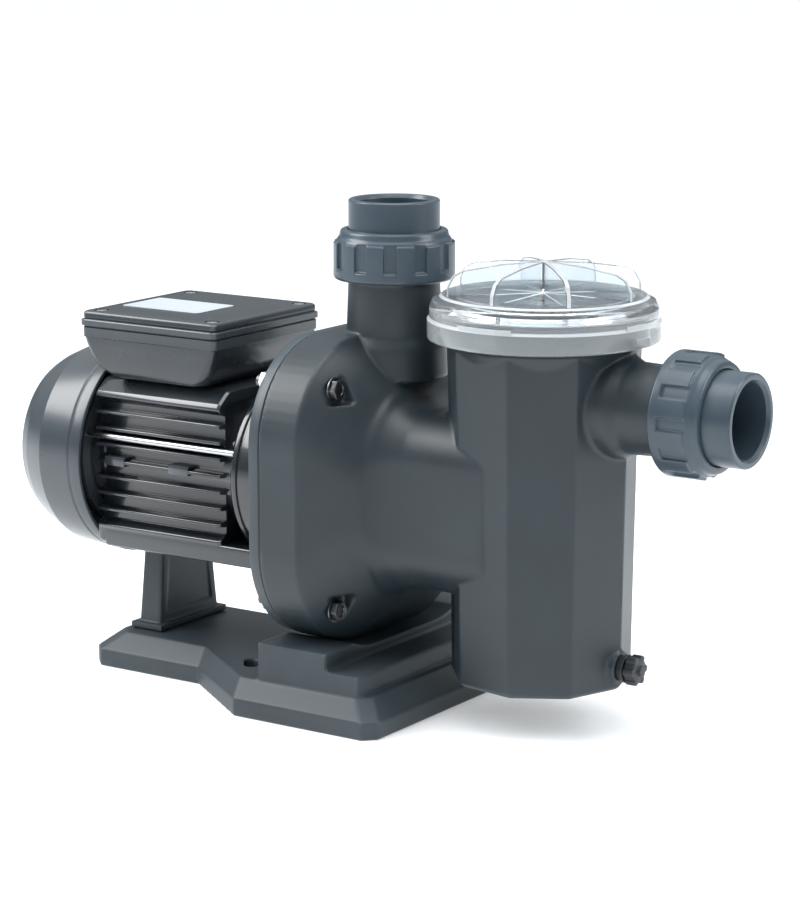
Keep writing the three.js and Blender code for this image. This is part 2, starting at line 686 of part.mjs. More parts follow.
function boxGasket() {
  const x = BOX_SIDES[2][0];
  const outer = loft([
    ringLevel(x, 0, BOX_RIM + 0.2, 59, 60.8, 5, 28), ringLevel(x, 0, BOX_RIM + 0.8, 59, 60.8, 5, 28),
  ]);
  const inner = loft([
    ringLevel(x, 0, BOX_RIM - 1, 57.2, 59, 3, 28), ringLevel(x, 0, BOX_RIM + 2, 57.2, 59, 3, 28),
  ]);
  return outer.subtract(inner);
}

function boxScrew(x, y) {
  const shank = rodZ(1.8, BOX_RIM - 10, BOX_TOP - 1.5, x, y, 6);
  const head = rodZ(4.3, BOX_TOP - 1.9, BOX_TOP + 0.4, x, y, 12);
  const recess = union(
    box(x - 2.4, x + 2.4, y - 0.5, y + 0.5, BOX_TOP - 0.9, BOX_TOP + 2),
    box(x - 0.5, x + 0.5, y - 2.4, y + 2.4, BOX_TOP - 0.9, BOX_TOP + 2),
  );
  return union(shank, head).subtract(recess);
}

function ratingLabel() {
  return box(-215, -147, -29, 15, BOX_TOP + 0.1, BOX_TOP + 0.5);
}

function terminalBlock() {
  const block = box(-190, -140, -44, -26, 222.5, 234);
  const posts = copies(3, (i) => rodZ(3, 233, 240, -180 + 15 * i, -35, 10));
  return union(block, ...posts);
}

function runCapacitor() {
  return turnedX([
    [0, -196], [13.6, -196], [14.6, -195], [14.6, -136], [13, -134], [0, -134],
  ], 24, 12, 235);
}

function cableGland() {
  const profile = [
    [3.5, 53], [8, 53], [8, 61.6], [12, 61.8], [12, 68], [10.5, 69], [10.5, 79], [8, 83], [3.5, 83],
    [3.5, 53],
  ];
  const points = profile.map(([r, h]) => new THREE.Vector2(r, h));
  return solid(new THREE.LatheGeometry(points, 16).translate(GLAND_X, 0, GLAND_Z));
}

// ---- unions -----------------------------------------------------------------------------------

/** Union nut standing on Z = 0 with its back face down: ribbed outside, lipped at the top. */
function unionNut() {
  const outside = turnedZ([
    [0, 0], [NUT_R - 1.2, 0], [NUT_R, 1.2], [NUT_R, NUT_LENGTH - 5], [NUT_R - 4, NUT_LENGTH], [0, NUT_LENGTH],
  ], 24);
  const bore = turnedZ([
    [0, -1], [36, -1], [36, NUT_LENGTH - 5], [SOCKET_R + 0.5, NUT_LENGTH - 5],
    [SOCKET_R + 0.5, NUT_LENGTH + 1], [0, NUT_LENGTH + 1],
  ], 24);
  const pockets = copies(NUT_LUGS, (i) => {
    const pocket = box(NUT_R - 2, NUT_R + 3, -5.4, 5.4, 7, NUT_LENGTH - 9);
    return spunZ(pocket, (360 / NUT_LUGS) * i);
  });
  return cut(outside, bore, ...pockets);
}

/** Glued socket with a flange that the nut draws onto the port. */
function tailpiece() {
  const seat = PORT_REACH + GAP;
  return turnedZ([
    [PIPE_BORE, seat], [35.5, seat], [35.5, NUT_LENGTH - 5 - GAP], [SOCKET_R, NUT_LENGTH - 5 - GAP],
    [SOCKET_R, UNION_REACH - 1], [SOCKET_R - 1, UNION_REACH], [PIPE_BORE + 1.6, UNION_REACH],
    [PIPE_BORE, UNION_REACH - 3], [PIPE_BORE, seat],
  ], 24);
}

function unionSealSpace() {
  return ringZ(27.8, 32.2, PORT_REACH - 3, PORT_REACH + 1, 20);
}

function unionSeal() {
  return turnedZ(sealProfile(30, PORT_REACH - 1.45, 2.8), 20);
}

function toDischarge(part) {
  return part.translate([0, 0, DISCHARGE_NUT]);
}

function toSuction(part) {
  return part.rotate([0, 90, 0]).translate([SUCTION_NUT, 0, SUCTION_Z]);
}

// ---- strainer -----------------------------------------------------------------------------------

function lidRibs() {
  const half = [[0, LID_TOP - 4], [65.5, LID_TOP - 4], [65, 296], [61.5, 303], [55, 306.5], [30, 310.5]];
  const outline = [...half, [0, 312], ...half.slice(1).reverse().map(([r, z]) => [-r, z])];
  return copies(LID_RIBS / 2, (i) => {
    const plate = prismX(polygonShape(outline), -1.8, 1.8).translate([POT_X, 0, 0]);
    return spunZ(plate, 45 * i, POT_X);
  });
}

function strainerLid() {
  const shell = turnedZ([
    [0, 284.5], [57, 284], [58.6, LID_SEAT], [72.2, LID_SEAT], [72.2, LID_BOTTOM], [LID_R, LID_BOTTOM],
    [LID_R, 273.5], [75.8, 275], [75.8, 282], [73.5, 286.5], [69, 288.6], [67.5, LID_TOP], [0, LID_TOP + 1],
  ], 36, POT_X);
  const lugs = copies(4, (i) => {
    const lug = box(POT_X + 69.3, POT_X + 73.5, -8, 8, 262.5, 266.5);
    return spunZ(lug, 90 * i, POT_X);
  });
  return union(shell, ...lidRibs(), ...lugs);
}

function lidSeal() {
  return turnedZ(sealProfile(62.5, (NECK_TOP + LID_SEAT) / 2, 3.2), 27, POT_X);
}

function basketSlots() {
  const slot = (z) => box(POT_X + 30, POT_X + 60, -4, 4, z, z + 54);
  return [70, 134].flatMap((z) => copies(8, (i) => spunZ(slot(z), 45 * i + 22.5, POT_X)));
}

function strainerBasket() {
  const cup = turnedZ([
    [0, 56], [43, 56], [49.5, 236], [50.5, POT_LEDGE + GAP], [57.2, POT_LEDGE + GAP], [57.2, 255.5],
    [48.5, 255.5], [47, 236], [40.5, 58.8], [0, 58.8],
  ], 24, POT_X);
  const inlet = rodX(22, POT_X + 30, POT_X + 60, 0, SUCTION_Z, 24);
  const floorHoles = copies(6, (i) => spunZ(box(POT_X + 12, POT_X + 34, -3, 3, 50, 62), 60 * i, POT_X));
  return cut(cup, ...basketSlots(), inlet, ...floorHoles);
}

/** Arched handle that clips onto the basket's rim. */
function basketHandle() {
  const arch = polygonShape([
    [-52, 255.8], [-46, 255.8], [-38, 266], [-20, 273], [20, 273], [38, 266], [46, 255.8], [52, 255.8],
    [49.5, 259], [41, 270], [22, 277.5], [-22, 277.5], [-41, 270], [-49.5, 259],
  ]);
  // The arch is drawn across the shaft and turned to stand along it.
  return spunZ(prismX(arch, -3, 3).translate([POT_X, 0, 0]), 90, POT_X);
}

function drainPlug() {
  const rod = (radius, from, to, sides) => {
    return rodX(radius, DRAIN_FACE + from, DRAIN_FACE + to, 0, DRAIN_Z, sides);
  };
  const lobes = copies(6, (i) => {
    const angle = (i * Math.PI) / 3;
    const y = 8 * Math.cos(angle);
    return rodX(2.6, DRAIN_FACE + 6, DRAIN_FACE + 14, y, DRAIN_Z + 8 * Math.sin(angle), 8);
  });
  return union(
    rod(6, -9.1, 2, 12), rod(9.5, 2.6, 5, 16), rod(6, 1, 8, 12), rod(8, 6, 14, 20), ...lobes,
    rod(3.5, 13, 16, 12),
  );
}

function drainSeal() {
  return turnedX(sealProfile(7.6, DRAIN_FACE + 1.3, 2.2), 12, 0, DRAIN_Z);
}

// ---- fasteners ------------------------------------------------------------------------------------

function housingBolt(y, z) {
  const head = rodX(7.2, 2 + GAP, 7.6, y, z, 6);
  const shank = rodX(4, -59, 3, y, z, 12);
  const dish = rodX(4.6, 6.9, 9, y, z, 12);
  return union(head, shank).subtract(dish);
}

function housingNut(y, z) {
  const hexagon = rodX(7.5, PLATE_BACK - 7, PLATE_BACK - GAP, y, z, 6);
  return hexagon.subtract(rodX(4.3, PLATE_BACK - 8, PLATE_BACK, y, z, 12));
}

// ---- assembly --------------------------------------------------------------------------------------

const pump = new THREE.Group();
pump.name = 'pool_pump';

/** Adds a solid to the pump as a named mesh with its own material. */
function addPart(name, part, materialName) {
  const mesh = part.asOriginal().simplify(FLATNESS).getMesh();
  const geometry = new THREE.BufferGeometry();
  geometry.setAttribute('position', new THREE.Float32BufferAttribute(mesh.vertProperties, 3));
  geometry.setIndex(Array.from(mesh.triVerts));
  const creased = toCreasedNormals(geometry, Math.PI / 6);
  const piece = new THREE.Mesh(creased, new THREE.MeshStandardMaterial(MATERIALS[materialName]));
  piece.name = name;
  pump.add(piece);
}

addPart('base_stand', baseStand(), 'basePlastic');
addPart('motor_support_post', supportPost(), 'basePlastic');
addPart('support_pad', supportPad(), 'rubber');

const bodyWithGrooves = cut(pumpBody(), toSuction(unionSealSpace()), toDischarge(unionSealSpace()));
addPart('pump_body', bodyWithGrooves, 'bodyPlastic');
addPart('seal_plate', sealPlate(), 'bodyPlastic');
addPart('housing_seal', housingSeal(), 'rubber');
addPart('diffuser', diffuser(), 'innerPlastic');
addPart('impeller', impeller(), 'innerPlastic');
addPart('seal_seat', ringX(9.4, 16.7, PLATE_BACK + 3.2, PLATE_FRONT + 1, 32), 'ceramic');
addPart('seal_rotor', ringX(SHAFT_R + 0.2, 15.5, PLATE_FRONT + 1.4, -33.3, 32), 'steel');

addPart('motor_shaft', motorShaft(), 'steel');
addPart('rotor_core', ringX(SHAFT_R + 0.2, 27.5, -180, -110, 40), 'laminations');
addPart('stator_core', ringX(28.4, STATOR_R - GAP, -185, -105, 40), 'laminations');
addPart('winding_front', ringX(30, 43, -104.6, -88, 32), 'copper');
addPart('winding_rear', ringX(30, 43, -202, -185.4, 32), 'copper');
addPart('bearing_front', ringX(SHAFT_R + 0.15, 20, -67, -54.3, 32), 'steel');
addPart('bearing_rear', ringX(SHAFT_R + 0.15, 17.5, MOTOR_REAR - 17, MOTOR_REAR - 6, 32), 'steel');
addPart('cooling_fan', coolingFan(), 'innerPlastic');
addPart('motor_housing', motorHousing(), 'motorPaint');
addPart('drive_end_shield', driveShield(), 'motorPaint');
addPart('rear_end_shield', rearShield(), 'motorPaint');
addPart('fan_cowl', fanCowl(), 'cowlPlastic');
tieRodPlaces().forEach(([y, z], i) => addPart(`tie_rod_${i + 1}`, tieRod(y, z), 'steel'));

addPart('terminal_box', terminalBox(), 'boxPlastic');
addPart('terminal_box_lid', boxLid(), 'boxPlastic');
addPart('terminal_gasket', boxGasket(), 'rubber');
addPart('rating_label', ratingLabel(), 'labelFilm');
addPart('terminal_block', terminalBlock(), 'innerPlastic');
addPart('run_capacitor', runCapacitor(), 'ceramic');
addPart('cable_gland', cableGland(), 'innerPlastic');
boxScrewPlaces().forEach(([x, y], i) => addPart(`box_screw_${i + 1}`, boxScrew(x, y), 'steel'));

boltPlaces().forEach(([y, z], i) => {
  addPart(`housing_bolt_${i + 1}`, housingBolt(y, z), 'steel');
  addPart(`housing_nut_${i + 1}`, housingNut(y, z), 'steel');
});

addPart('strainer_basket', strainerBasket(), 'basketPlastic');
addPart('basket_handle', basketHandle(), 'basketPlastic');
addPart('lid_seal', lidSeal(), 'rubber');
addPart('strainer_lid', strainerLid(), 'clearPlastic');
addPart('drain_seal', drainSeal(), 'rubber');
addPart('drain_plug', drainPlug(), 'innerPlastic');

addPart('suction_seal', toSuction(unionSeal()), 'rubber');
addPart('suction_tailpiece', toSuction(tailpiece()), 'unionPlastic');
addPart('suction_union_nut', toSuction(unionNut()), 'unionPlastic');
addPart('discharge_seal', toDischarge(unionSeal()), 'rubber');
addPart('discharge_tailpiece', toDischarge(tailpiece()), 'unionPlastic');
addPart('discharge_union_nut', toDischarge(unionNut()), 'unionPlastic');

export default pump;
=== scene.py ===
import json
import math

import bmesh
import bpy
from mathutils import Matrix, Vector

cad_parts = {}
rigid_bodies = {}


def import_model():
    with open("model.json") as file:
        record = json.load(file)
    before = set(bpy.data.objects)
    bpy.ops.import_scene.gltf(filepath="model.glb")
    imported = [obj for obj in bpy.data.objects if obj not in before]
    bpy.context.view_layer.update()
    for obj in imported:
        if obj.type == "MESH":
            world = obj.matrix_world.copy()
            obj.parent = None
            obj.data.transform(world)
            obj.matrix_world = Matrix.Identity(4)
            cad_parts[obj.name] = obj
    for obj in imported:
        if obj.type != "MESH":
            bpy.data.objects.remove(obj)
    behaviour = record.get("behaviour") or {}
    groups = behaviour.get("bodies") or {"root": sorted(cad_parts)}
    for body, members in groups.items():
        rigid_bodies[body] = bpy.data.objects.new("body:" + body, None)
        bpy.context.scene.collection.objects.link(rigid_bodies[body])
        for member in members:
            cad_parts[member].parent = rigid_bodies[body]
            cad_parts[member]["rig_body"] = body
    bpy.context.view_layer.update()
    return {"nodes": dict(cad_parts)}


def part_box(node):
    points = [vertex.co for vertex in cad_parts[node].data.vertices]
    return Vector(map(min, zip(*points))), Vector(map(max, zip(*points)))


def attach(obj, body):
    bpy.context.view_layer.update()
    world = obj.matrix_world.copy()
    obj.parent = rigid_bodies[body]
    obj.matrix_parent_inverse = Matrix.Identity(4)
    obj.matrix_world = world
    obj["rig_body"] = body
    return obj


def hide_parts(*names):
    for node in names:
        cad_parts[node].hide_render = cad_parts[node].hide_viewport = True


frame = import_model()
NODES = frame["nodes"]
SCENE = bpy.context.scene

# ---- driving dimensions, in millimetres, read from the frame ------------------------------------
MM = 0.001
X, Y, Z = 0, 1, 2


def span(node):
    """Lowest and highest corners of a CAD node."""
    low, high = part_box(node)
    return [v / MM for v in low], [v / MM for v in high]


def middle(node, axis):
    low, high = span(node)
    return (low[axis] + high[axis]) / 2


SHAFT_Z = middle("motor_shaft", Z)
POT_X = middle("strainer_lid", X)
POT_FLOOR = 29
VOLUTE_HALF = span("pump_body")[1][Y]
VOLUTE_CORNER = 70
PLATE_BACK = span("seal_plate")[0][X]
PLATE_FRONT = span("seal_plate")[1][X]
BAND_FRONT = -8
TUBE_Z = SHAFT_Z - 3
BOLT_Y = middle("housing_bolt_1", Y)
BOLT_DZ = middle("housing_bolt_1", Z) - SHAFT_Z
BOLT_HOLE_R = 4.6
DRAIN_Z = 45
DRAIN_FACE = POT_X + 62.6 # end of the drain's boss

SUCTION_Z = middle("suction_union_nut", Z)
SUCTION_NUT = span("suction_union_nut")[0][X]
DISCHARGE_NUT = span("discharge_union_nut")[0][Z]
NUT_R = span("suction_union_nut")[1][Y]
NUT_LENGTH = span("suction_union_nut")[1][X] - SUCTION_NUT
UNION_REACH = span("suction_tailpiece")[1][X] - SUCTION_NUT
SOCKET_R = 31
PIPE_BORE = 25
PORT_REACH = 21

LID_R = span("strainer_lid")[1][Y]
LID_BOTTOM = span("strainer_lid")[0][Z]
LID_PEAK = span("strainer_lid")[1][Z]
LID_SEAT = 279.7

MOTOR_REAR = span("motor_housing")[0][X]
GAP = 0.3 # space kept between pieces that touch
MOTOR_FRONT = span("drive_end_shield")[0][X] - GAP
FIN_FRONT = -107
STATOR_BORE = 47
MOTOR_HALF = span("motor_housing")[1][Y]
COWL_R = span("fan_cowl")[1][Y]
COWL_REAR = span("fan_cowl")[0][X]
COWL_FRONT = span("fan_cowl")[1][X]

BOX_BOTTOM = span("terminal_box")[0][Z]
BOX_RIM = span("terminal_box")[1][Z]
BOX_TOP = span("terminal_box_lid")[1][Z]
CABLE_X = -165 # hole from the box down into the motor
GLAND_HOLE = (-140, 232)
PAD_TOP = span("support_pad")[1][Z]
POST_X = middle("support_pad", X)
DECK = 24
SKIRT = 12
SLOT_X = -75 # hold-down slots behind the cradle
SLOT_Y = 66
SLOT_TURN = 53


# ---- mesh tools ----------------------------------------------------------------------------------

def make(name, verts, faces):
    """New object from points in millimetres, with its faces turned outwards."""
    mesh = bpy.data.meshes.new(name)
    mesh.from_pydata([[c * MM for c in v] for v in verts], [], faces)
    work = bmesh.new()
    work.from_mesh(mesh)
    bmesh.ops.recalc_face_normals(work, faces=work.faces)
    work.to_mesh(mesh)
    work.free()
    obj = bpy.data.objects.new(name, mesh)
    SCENE.collection.objects.link(obj)
    return obj


def corner_arc(before, here, after, radius, steps):
    """Points of the arc that rounds one corner of an outline."""
    u = (before - here).normalized()
    v = (after - here).normalized()
    angle = u.angle(v)
    if angle > math.radians(176) or angle < math.radians(4):
        return [here]
    room = 0.48 * min((before - here).length, (after - here).length)
    reach = min(radius / math.tan(angle / 2), room)
    size = reach * math.tan(angle / 2)
    centre = here + (u + v).normalized() * (size / math.sin(angle / 2))
    start = here + u * reach - centre
    end = here + v * reach - centre
    turn = math.pi - angle
    arc = []
    for k in range(steps + 1):
        t = k / steps
        blend = start * math.sin((1 - t) * turn) + end * math.sin(t * turn)
        arc.append(centre + blend / math.sin(turn))
    return arc


def softened(points, closed=False, steps=5):
    """Outline with an arc at each corner that has a radius. Points are (a, b) or (a, b, radius)."""
    flat = [Vector(p[:2]) for p in points]
    outline = []
    for i, here in enumerate(flat):
        radius = points[i][2] if len(points[i]) > 2 else 0
        at_end = not closed and i in (0, len(flat) - 1)
        if radius <= 0 or at_end:
            outline.append(here)
        else:
            outline += corner_arc(flat[i - 1], here, flat[(i + 1) % len(flat)], radius, steps)
    return outline


def placed(axis, u, v, h):
    """Point with coordinates u and v across an axis and h along it."""
    return {"X": (h, u, v), "Y": (u, h, v), "Z": (u, v, h)}[axis]


def turned(name, profile, axis="Z", centre=(0, 0), segments=96):
    """Solid of revolution from a profile of (radius, height, corner radius)."""
    closed = profile[0][0] > 0
    verts, rings, faces = [], [], []
    for r, h in softened(profile, closed):
        first = len(verts)
        count = 1 if r < 1e-6 else segments
        rings.append(range(first, first + count))
        for i in range(count):
            angle = 2 * math.pi * i / segments
            u = centre[0] + r * math.cos(angle)
            v = centre[1] + r * math.sin(angle)
            verts.append(placed(axis, u, v, h))
    following = list(rings[1:]) + (rings[:1] if closed else [])
    for low, high in zip(rings, following):
        for i in range(segments):
            j = (i + 1) % segments
            if len(low) == 1:
                faces.append((low[0], high[i], high[j]))
            elif len(high) == 1:
                faces.append((low[i], low[j], high[0]))
            else:
                faces.append((low[i], low[j], high[j], high[i]))
    return make(name, verts, faces)


def loft(name, rings):
    """Skin over closed rings that have the same number of points, capped at both ends."""
    count = len(rings[0])
    verts = [p for ring in rings for p in ring]
    faces = [tuple(range(count)), tuple(range(len(verts) - count, len(verts)))]
    for k in range(len(rings) - 1):
        for i in range(count):
            j = (i + 1) % count
            low = k * count
            faces.append((low + i, low + j, low + count + j, low + count + i))
    return make(name, verts, faces)


def prism(name, outline, axis, low, high, centre=(0, 0)):
    """Straight extrusion of an outline along an axis."""
    rings = []
    for h in (low, high):
        rings.append([placed(axis, centre[0] + u, centre[1] + v, h) for u, v in outline])
    return loft(name, rings)


def block(name, x, y, z):
    """Plain cutting or joining block between two corners."""
    outline = [(x[0], y[0]), (x[1], y[0]), (x[1], y[1]), (x[0], y[1])]
    return prism(name, outline, "Z", z[0], z[1])


def rounded_rect(half_w, half_h, radius, steps=8):
    corners = [(half_w, -half_h), (half_w, half_h), (-half_w, half_h), (-half_w, -half_h)]
    return softened([(a, b, radius) for a, b in corners], True, steps)


def circle(radius, count):
    angles = [2 * math.pi * i / count for i in range(count)]
    return [(radius * math.cos(a), radius * math.sin(a)) for a in angles]


def applied(obj):
    """Replaces the mesh with the result of its modifiers."""
    graph = bpy.context.evaluated_depsgraph_get()
    mesh = bpy.data.meshes.new_from_object(obj.evaluated_get(graph))
    obj.modifiers.clear()
    obj.data = mesh
    return obj


def boolean(target, tools, operation):
    for tool in tools:
        modifier = target.modifiers.new("join", "BOOLEAN")
        modifier.operation = operation
        modifier.solver = "MANIFOLD"
        modifier.object = tool
    applied(target)
    for tool in tools:
        bpy.data.objects.remove(tool)
    return target


def fused(target, *tools):
    return boolean(target, tools, "UNION")


def carved(target, *tools):
    return boolean(target, tools, "DIFFERENCE")


def moulded(obj, voxel, rounds, keep=1.0):
    """Even skin with soft moulded edges, thinned where it is flat."""
    remesh = obj.modifiers.new("skin", "REMESH")
    remesh.mode = "VOXEL"
    remesh.voxel_size = voxel * MM
    smooth = obj.modifiers.new("soften", "SMOOTH")
    smooth.factor = 0.5
    smooth.iterations = rounds
    if keep < 1:
        thin = obj.modifiers.new("thin", "DECIMATE")
        thin.ratio = keep
    return applied(obj)


def bevelled(obj, width, segments=2):
    bevel = obj.modifiers.new("edge", "BEVEL")
    bevel.width = width * MM
    bevel.segments = segments
    bevel.limit_method = "ANGLE"
    bevel.angle_limit = math.radians(32)
    return applied(obj)


def spun(obj, axis, degrees, centre):
    """Turns the mesh about a line through a centre given in millimetres."""
    middle_point = Vector(placed(axis, centre[0], centre[1], 0)) * MM
    work = bmesh.new()
    work.from_mesh(obj.data)
    from_axis = {"X": (1, 0, 0), "Y": (0, 1, 0), "Z": (0, 0, 1)}[axis]
    turn = Matrix.Rotation(math.radians(degrees), 3, from_axis)
    bmesh.ops.rotate(work, verts=work.verts, cent=middle_point, matrix=turn)
    work.to_mesh(obj.data)
    work.free()
    return obj


def joined(name, objects):
    """One object from several that don't touch."""
    work = bmesh.new()
    for obj in objects:
        work.from_mesh(obj.data)
        bpy.data.objects.remove(obj)
    mesh = bpy.data.meshes.new(name)
    work.to_mesh(mesh)
    work.free()
    whole = bpy.data.objects.new(name, mesh)
    SCENE.collection.objects.link(whole)
    return whole


def finish(piece, material, slot, *nodes, crease=35):
    """Shades a piece, gives it its material and puts it in place of its CAD nodes."""
    piece.data.shade_smooth()
    piece.data.set_sharp_from_angle(angle=math.radians(crease))
    piece.data.materials.clear()
    piece.data.materials.append(material)
    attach(piece, NODES[nodes[0]]["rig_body"])
    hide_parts(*nodes)
    return piece


# ---- materials -----------------------------------------------------------------------------------

def ramp(nodes, stops):
    node = nodes.new("ShaderNodeValToRGB")
    node.color_ramp.elements[0].position = stops[0][0]
    node.color_ramp.elements[0].color = stops[0][1]
    node.color_ramp.elements[1].position = stops[1][0]
    node.color_ramp.elements[1].color = stops[1][1]
    return node


def grey(value):
    return (value, value, value, 1)


def surface(name, dark, light, worn, rough, grain=900, bump=0.1, depth=0.15,
            stretch=(1, 1, 1), **sockets):
    """Procedural finish: two tones, worn edges, uneven gloss and a fine grain.

    Colours are linear. grain is the number of grains per metre and depth their height in mm.
    """
    material = bpy.data.materials.new(name)
    material.use_nodes = True
    nodes = material.node_tree.nodes
    link = material.node_tree.links.new
    shader = nodes["Principled BSDF"]
    for socket, value in sockets.items():
        shader.inputs[socket.replace("_", " ")].default_value = value

    place = nodes.new("ShaderNodeTexCoord")
    mapping = nodes.new("ShaderNodeMapping")
    mapping.inputs["Scale"].default_value = stretch
    link(place.outputs["Object"], mapping.inputs["Vector"])

    clouds = nodes.new("ShaderNodeTexNoise")
    clouds.inputs["Scale"].default_value = 22
    clouds.inputs["Detail"].default_value = 4
    link(mapping.outputs["Vector"], clouds.inputs["Vector"])
    tones = ramp(nodes, [(0.35, (*dark, 1)), (0.68, (*light, 1))])
    link(clouds.outputs["Fac"], tones.inputs["Fac"])

    shape = nodes.new("ShaderNodeNewGeometry")
    edges = ramp(nodes, [(0.52, grey(0)), (0.62, grey(1))])
    link(shape.outputs["Pointiness"], edges.inputs["Fac"])
    wear = nodes.new("ShaderNodeMix")
    wear.data_type = "RGBA"
    wear.inputs[7].default_value = (*worn, 1)
    link(edges.outputs["Color"], wear.inputs["Factor"])
    link(tones.outputs["Color"], wear.inputs[6])
    link(wear.outputs[2], shader.inputs["Base Color"])

    fine = nodes.new("ShaderNodeTexNoise")
    fine.inputs["Scale"].default_value = grain
    fine.inputs["Detail"].default_value = 3
    link(mapping.outputs["Vector"], fine.inputs["Vector"])
    gloss = nodes.new("ShaderNodeMapRange")
    gloss.inputs["To Min"].default_value = rough[0]
    gloss.inputs["To Max"].default_value = rough[1]
    link(clouds.outputs["Fac"], gloss.inputs["Value"])
    link(gloss.outputs["Result"], shader.inputs["Roughness"])

    relief = nodes.new("ShaderNodeBump")
    relief.inputs["Strength"].default_value = bump
    relief.inputs["Distance"].default_value = depth * MM
    link(fine.outputs["Fac"], relief.inputs["Height"])
    link(relief.outputs["Normal"], shader.inputs["Normal"])
    return material


SURFACES = {
    "body_plastic": surface(
        "slate_moulding", (0.014, 0.022, 0.028), (0.021, 0.031, 0.038), (0.07, 0.092, 0.107),
        (0.36, 0.48), bump=0.12),
    "base_plastic": surface(
        "charcoal_moulding", (0.024, 0.034, 0.042), (0.034, 0.047, 0.056), (0.09, 0.113, 0.13),
        (0.44, 0.56), bump=0.16),
    "union_plastic": surface(
        "grey_pvc", (0.035, 0.052, 0.069), (0.046, 0.067, 0.087), (0.11, 0.145, 0.17),
        (0.24, 0.34), grain=500, bump=0.05),
    "clear_plastic": surface(
        "clear_polycarbonate", (0.84, 0.9, 0.93), (0.93, 0.96, 0.98), (0.95, 0.98, 1.0),
        (0.015, 0.06), grain=160, bump=0.04, Transmission_Weight=0.94, IOR=1.5),
    "basket_plastic": surface(
        "basket_moulding", (0.24, 0.25, 0.25), (0.33, 0.34, 0.34), (0.45, 0.46, 0.46),
        (0.4, 0.55)),
    "inner_plastic": surface(
        "black_moulding", (0.012, 0.014, 0.017), (0.02, 0.023, 0.027), (0.06, 0.065, 0.07),
        (0.38, 0.52)),
    "motor_paint": surface(
        "black_gloss_paint", (0.006, 0.008, 0.011), (0.011, 0.014, 0.018), (0.05, 0.06, 0.07),
        (0.2, 0.3), grain=350, bump=0.1, depth=0.1, Coat_Weight=0.6, Coat_Roughness=0.07),
    "cowl_plastic": surface(
        "cowl_moulding", (0.03, 0.039, 0.047), (0.042, 0.053, 0.063), (0.09, 0.11, 0.125),
        (0.24, 0.33), grain=600, bump=0.05, Coat_Weight=0.25, Coat_Roughness=0.18),
    "box_plastic": surface(
        "box_moulding", (0.013, 0.018, 0.023), (0.02, 0.027, 0.033), (0.075, 0.09, 0.105),
        (0.22, 0.32), grain=700, bump=0.05, Coat_Weight=0.2, Coat_Roughness=0.15),
    "label_film": surface(
        "blank_label", (0.38, 0.42, 0.45), (0.44, 0.48, 0.51), (0.5, 0.54, 0.57),
        (0.3, 0.42), grain=300, bump=0.05),
    "rubber": surface(
        "black_rubber", (0.009, 0.01, 0.011), (0.017, 0.018, 0.02), (0.04, 0.04, 0.043),
        (0.62, 0.8), bump=0.25),
    "steel": surface(
        "zinc_plate", (0.42, 0.43, 0.44), (0.6, 0.61, 0.62), (0.75, 0.76, 0.77),
        (0.22, 0.36), grain=1200, bump=0.12, stretch=(0.15, 1, 1), Metallic=1.0),
    "laminations": surface(
        "bare_laminations", (0.22, 0.23, 0.24), (0.34, 0.35, 0.36), (0.5, 0.51, 0.52),
        (0.35, 0.5), grain=1500, bump=0.4, stretch=(1, 0.05, 0.05), Metallic=1.0),
    "copper": surface(
        "copper_winding", (0.42, 0.16, 0.06), (0.62, 0.27, 0.12), (0.75, 0.4, 0.22),
        (0.28, 0.42), grain=900, bump=0.5, Metallic=1.0),
    "ceramic": surface(
        "pale_ceramic", (0.62, 0.6, 0.54), (0.74, 0.72, 0.66), (0.84, 0.82, 0.78),
        (0.16, 0.28), grain=700, bump=0.06),
}

BOLT_STEEL = surface(
    "blackened_steel", (0.05, 0.053, 0.057), (0.09, 0.094, 0.1), (0.2, 0.205, 0.21),
    (0.3, 0.45), grain=1200, bump=0.15, Metallic=1.0)

# Whiter, less clear copy of the lid's material: painted highlight on the lid's rib tops and ledges.
PAINTED_HIGHLIGHT_CLEAR = surface(
    "painted_highlight_edge", (0.86, 0.92, 0.95), (0.94, 0.97, 0.99), (0.97, 0.99, 1.0),
    (0.16, 0.28), grain=400, bump=0.05, Transmission_Weight=0.55, IOR=1.5)

# Lighter, less clear copy of the lid's material: painted sheen on the lid's outer skirt.
PAINTED_SHEEN_CLEAR = surface(
    "painted_sheen_skirt", (0.84, 0.9, 0.93), (0.93, 0.96, 0.98), (0.95, 0.98, 1.0),
    (0.06, 0.14), grain=300, bump=0.06, Transmission_Weight=0.82, IOR=1.5)


def dress(material_slot, *nodes, edge=0.0):
    """Gives CAD nodes that stay visible their finish and, where asked, a small edge radius."""
    for name in nodes:
        obj = NODES[name]
        if not obj.material_slots:
            obj.data.materials.append(SURFACES[material_slot])
        for held in obj.material_slots:
            held.material = SURFACES[material_slot]
        if edge:
            bevel = obj.modifiers.new("edge", "BEVEL")
            bevel.width = edge * MM
            bevel.segments = 2
            bevel.limit_method = "ANGLE"
            bevel.angle_limit = math.radians(35)


# ---- base ----------------------------------------------------------------------------------------

def base_plan(inset):
    """Floor plan: a wide front under the wet end and a narrow tail under the motor."""
    wide, narrow, clip = 111 - inset, 63 - inset, 9
    front, rear = 57 - inset, -222 + inset
    half = [
        (rear, narrow - clip), (rear + clip, narrow), (-124 - 0.3 * inset, narrow),
        (-57 - 0.3 * inset, wide), (front - clip, wide), (front, wide - clip),
    ]
    return half + [(x, -y) for x, y in reversed(half)]


def plan_ring(inset, z):
    return [(x, y, z) for x, y in base_plan(inset)]


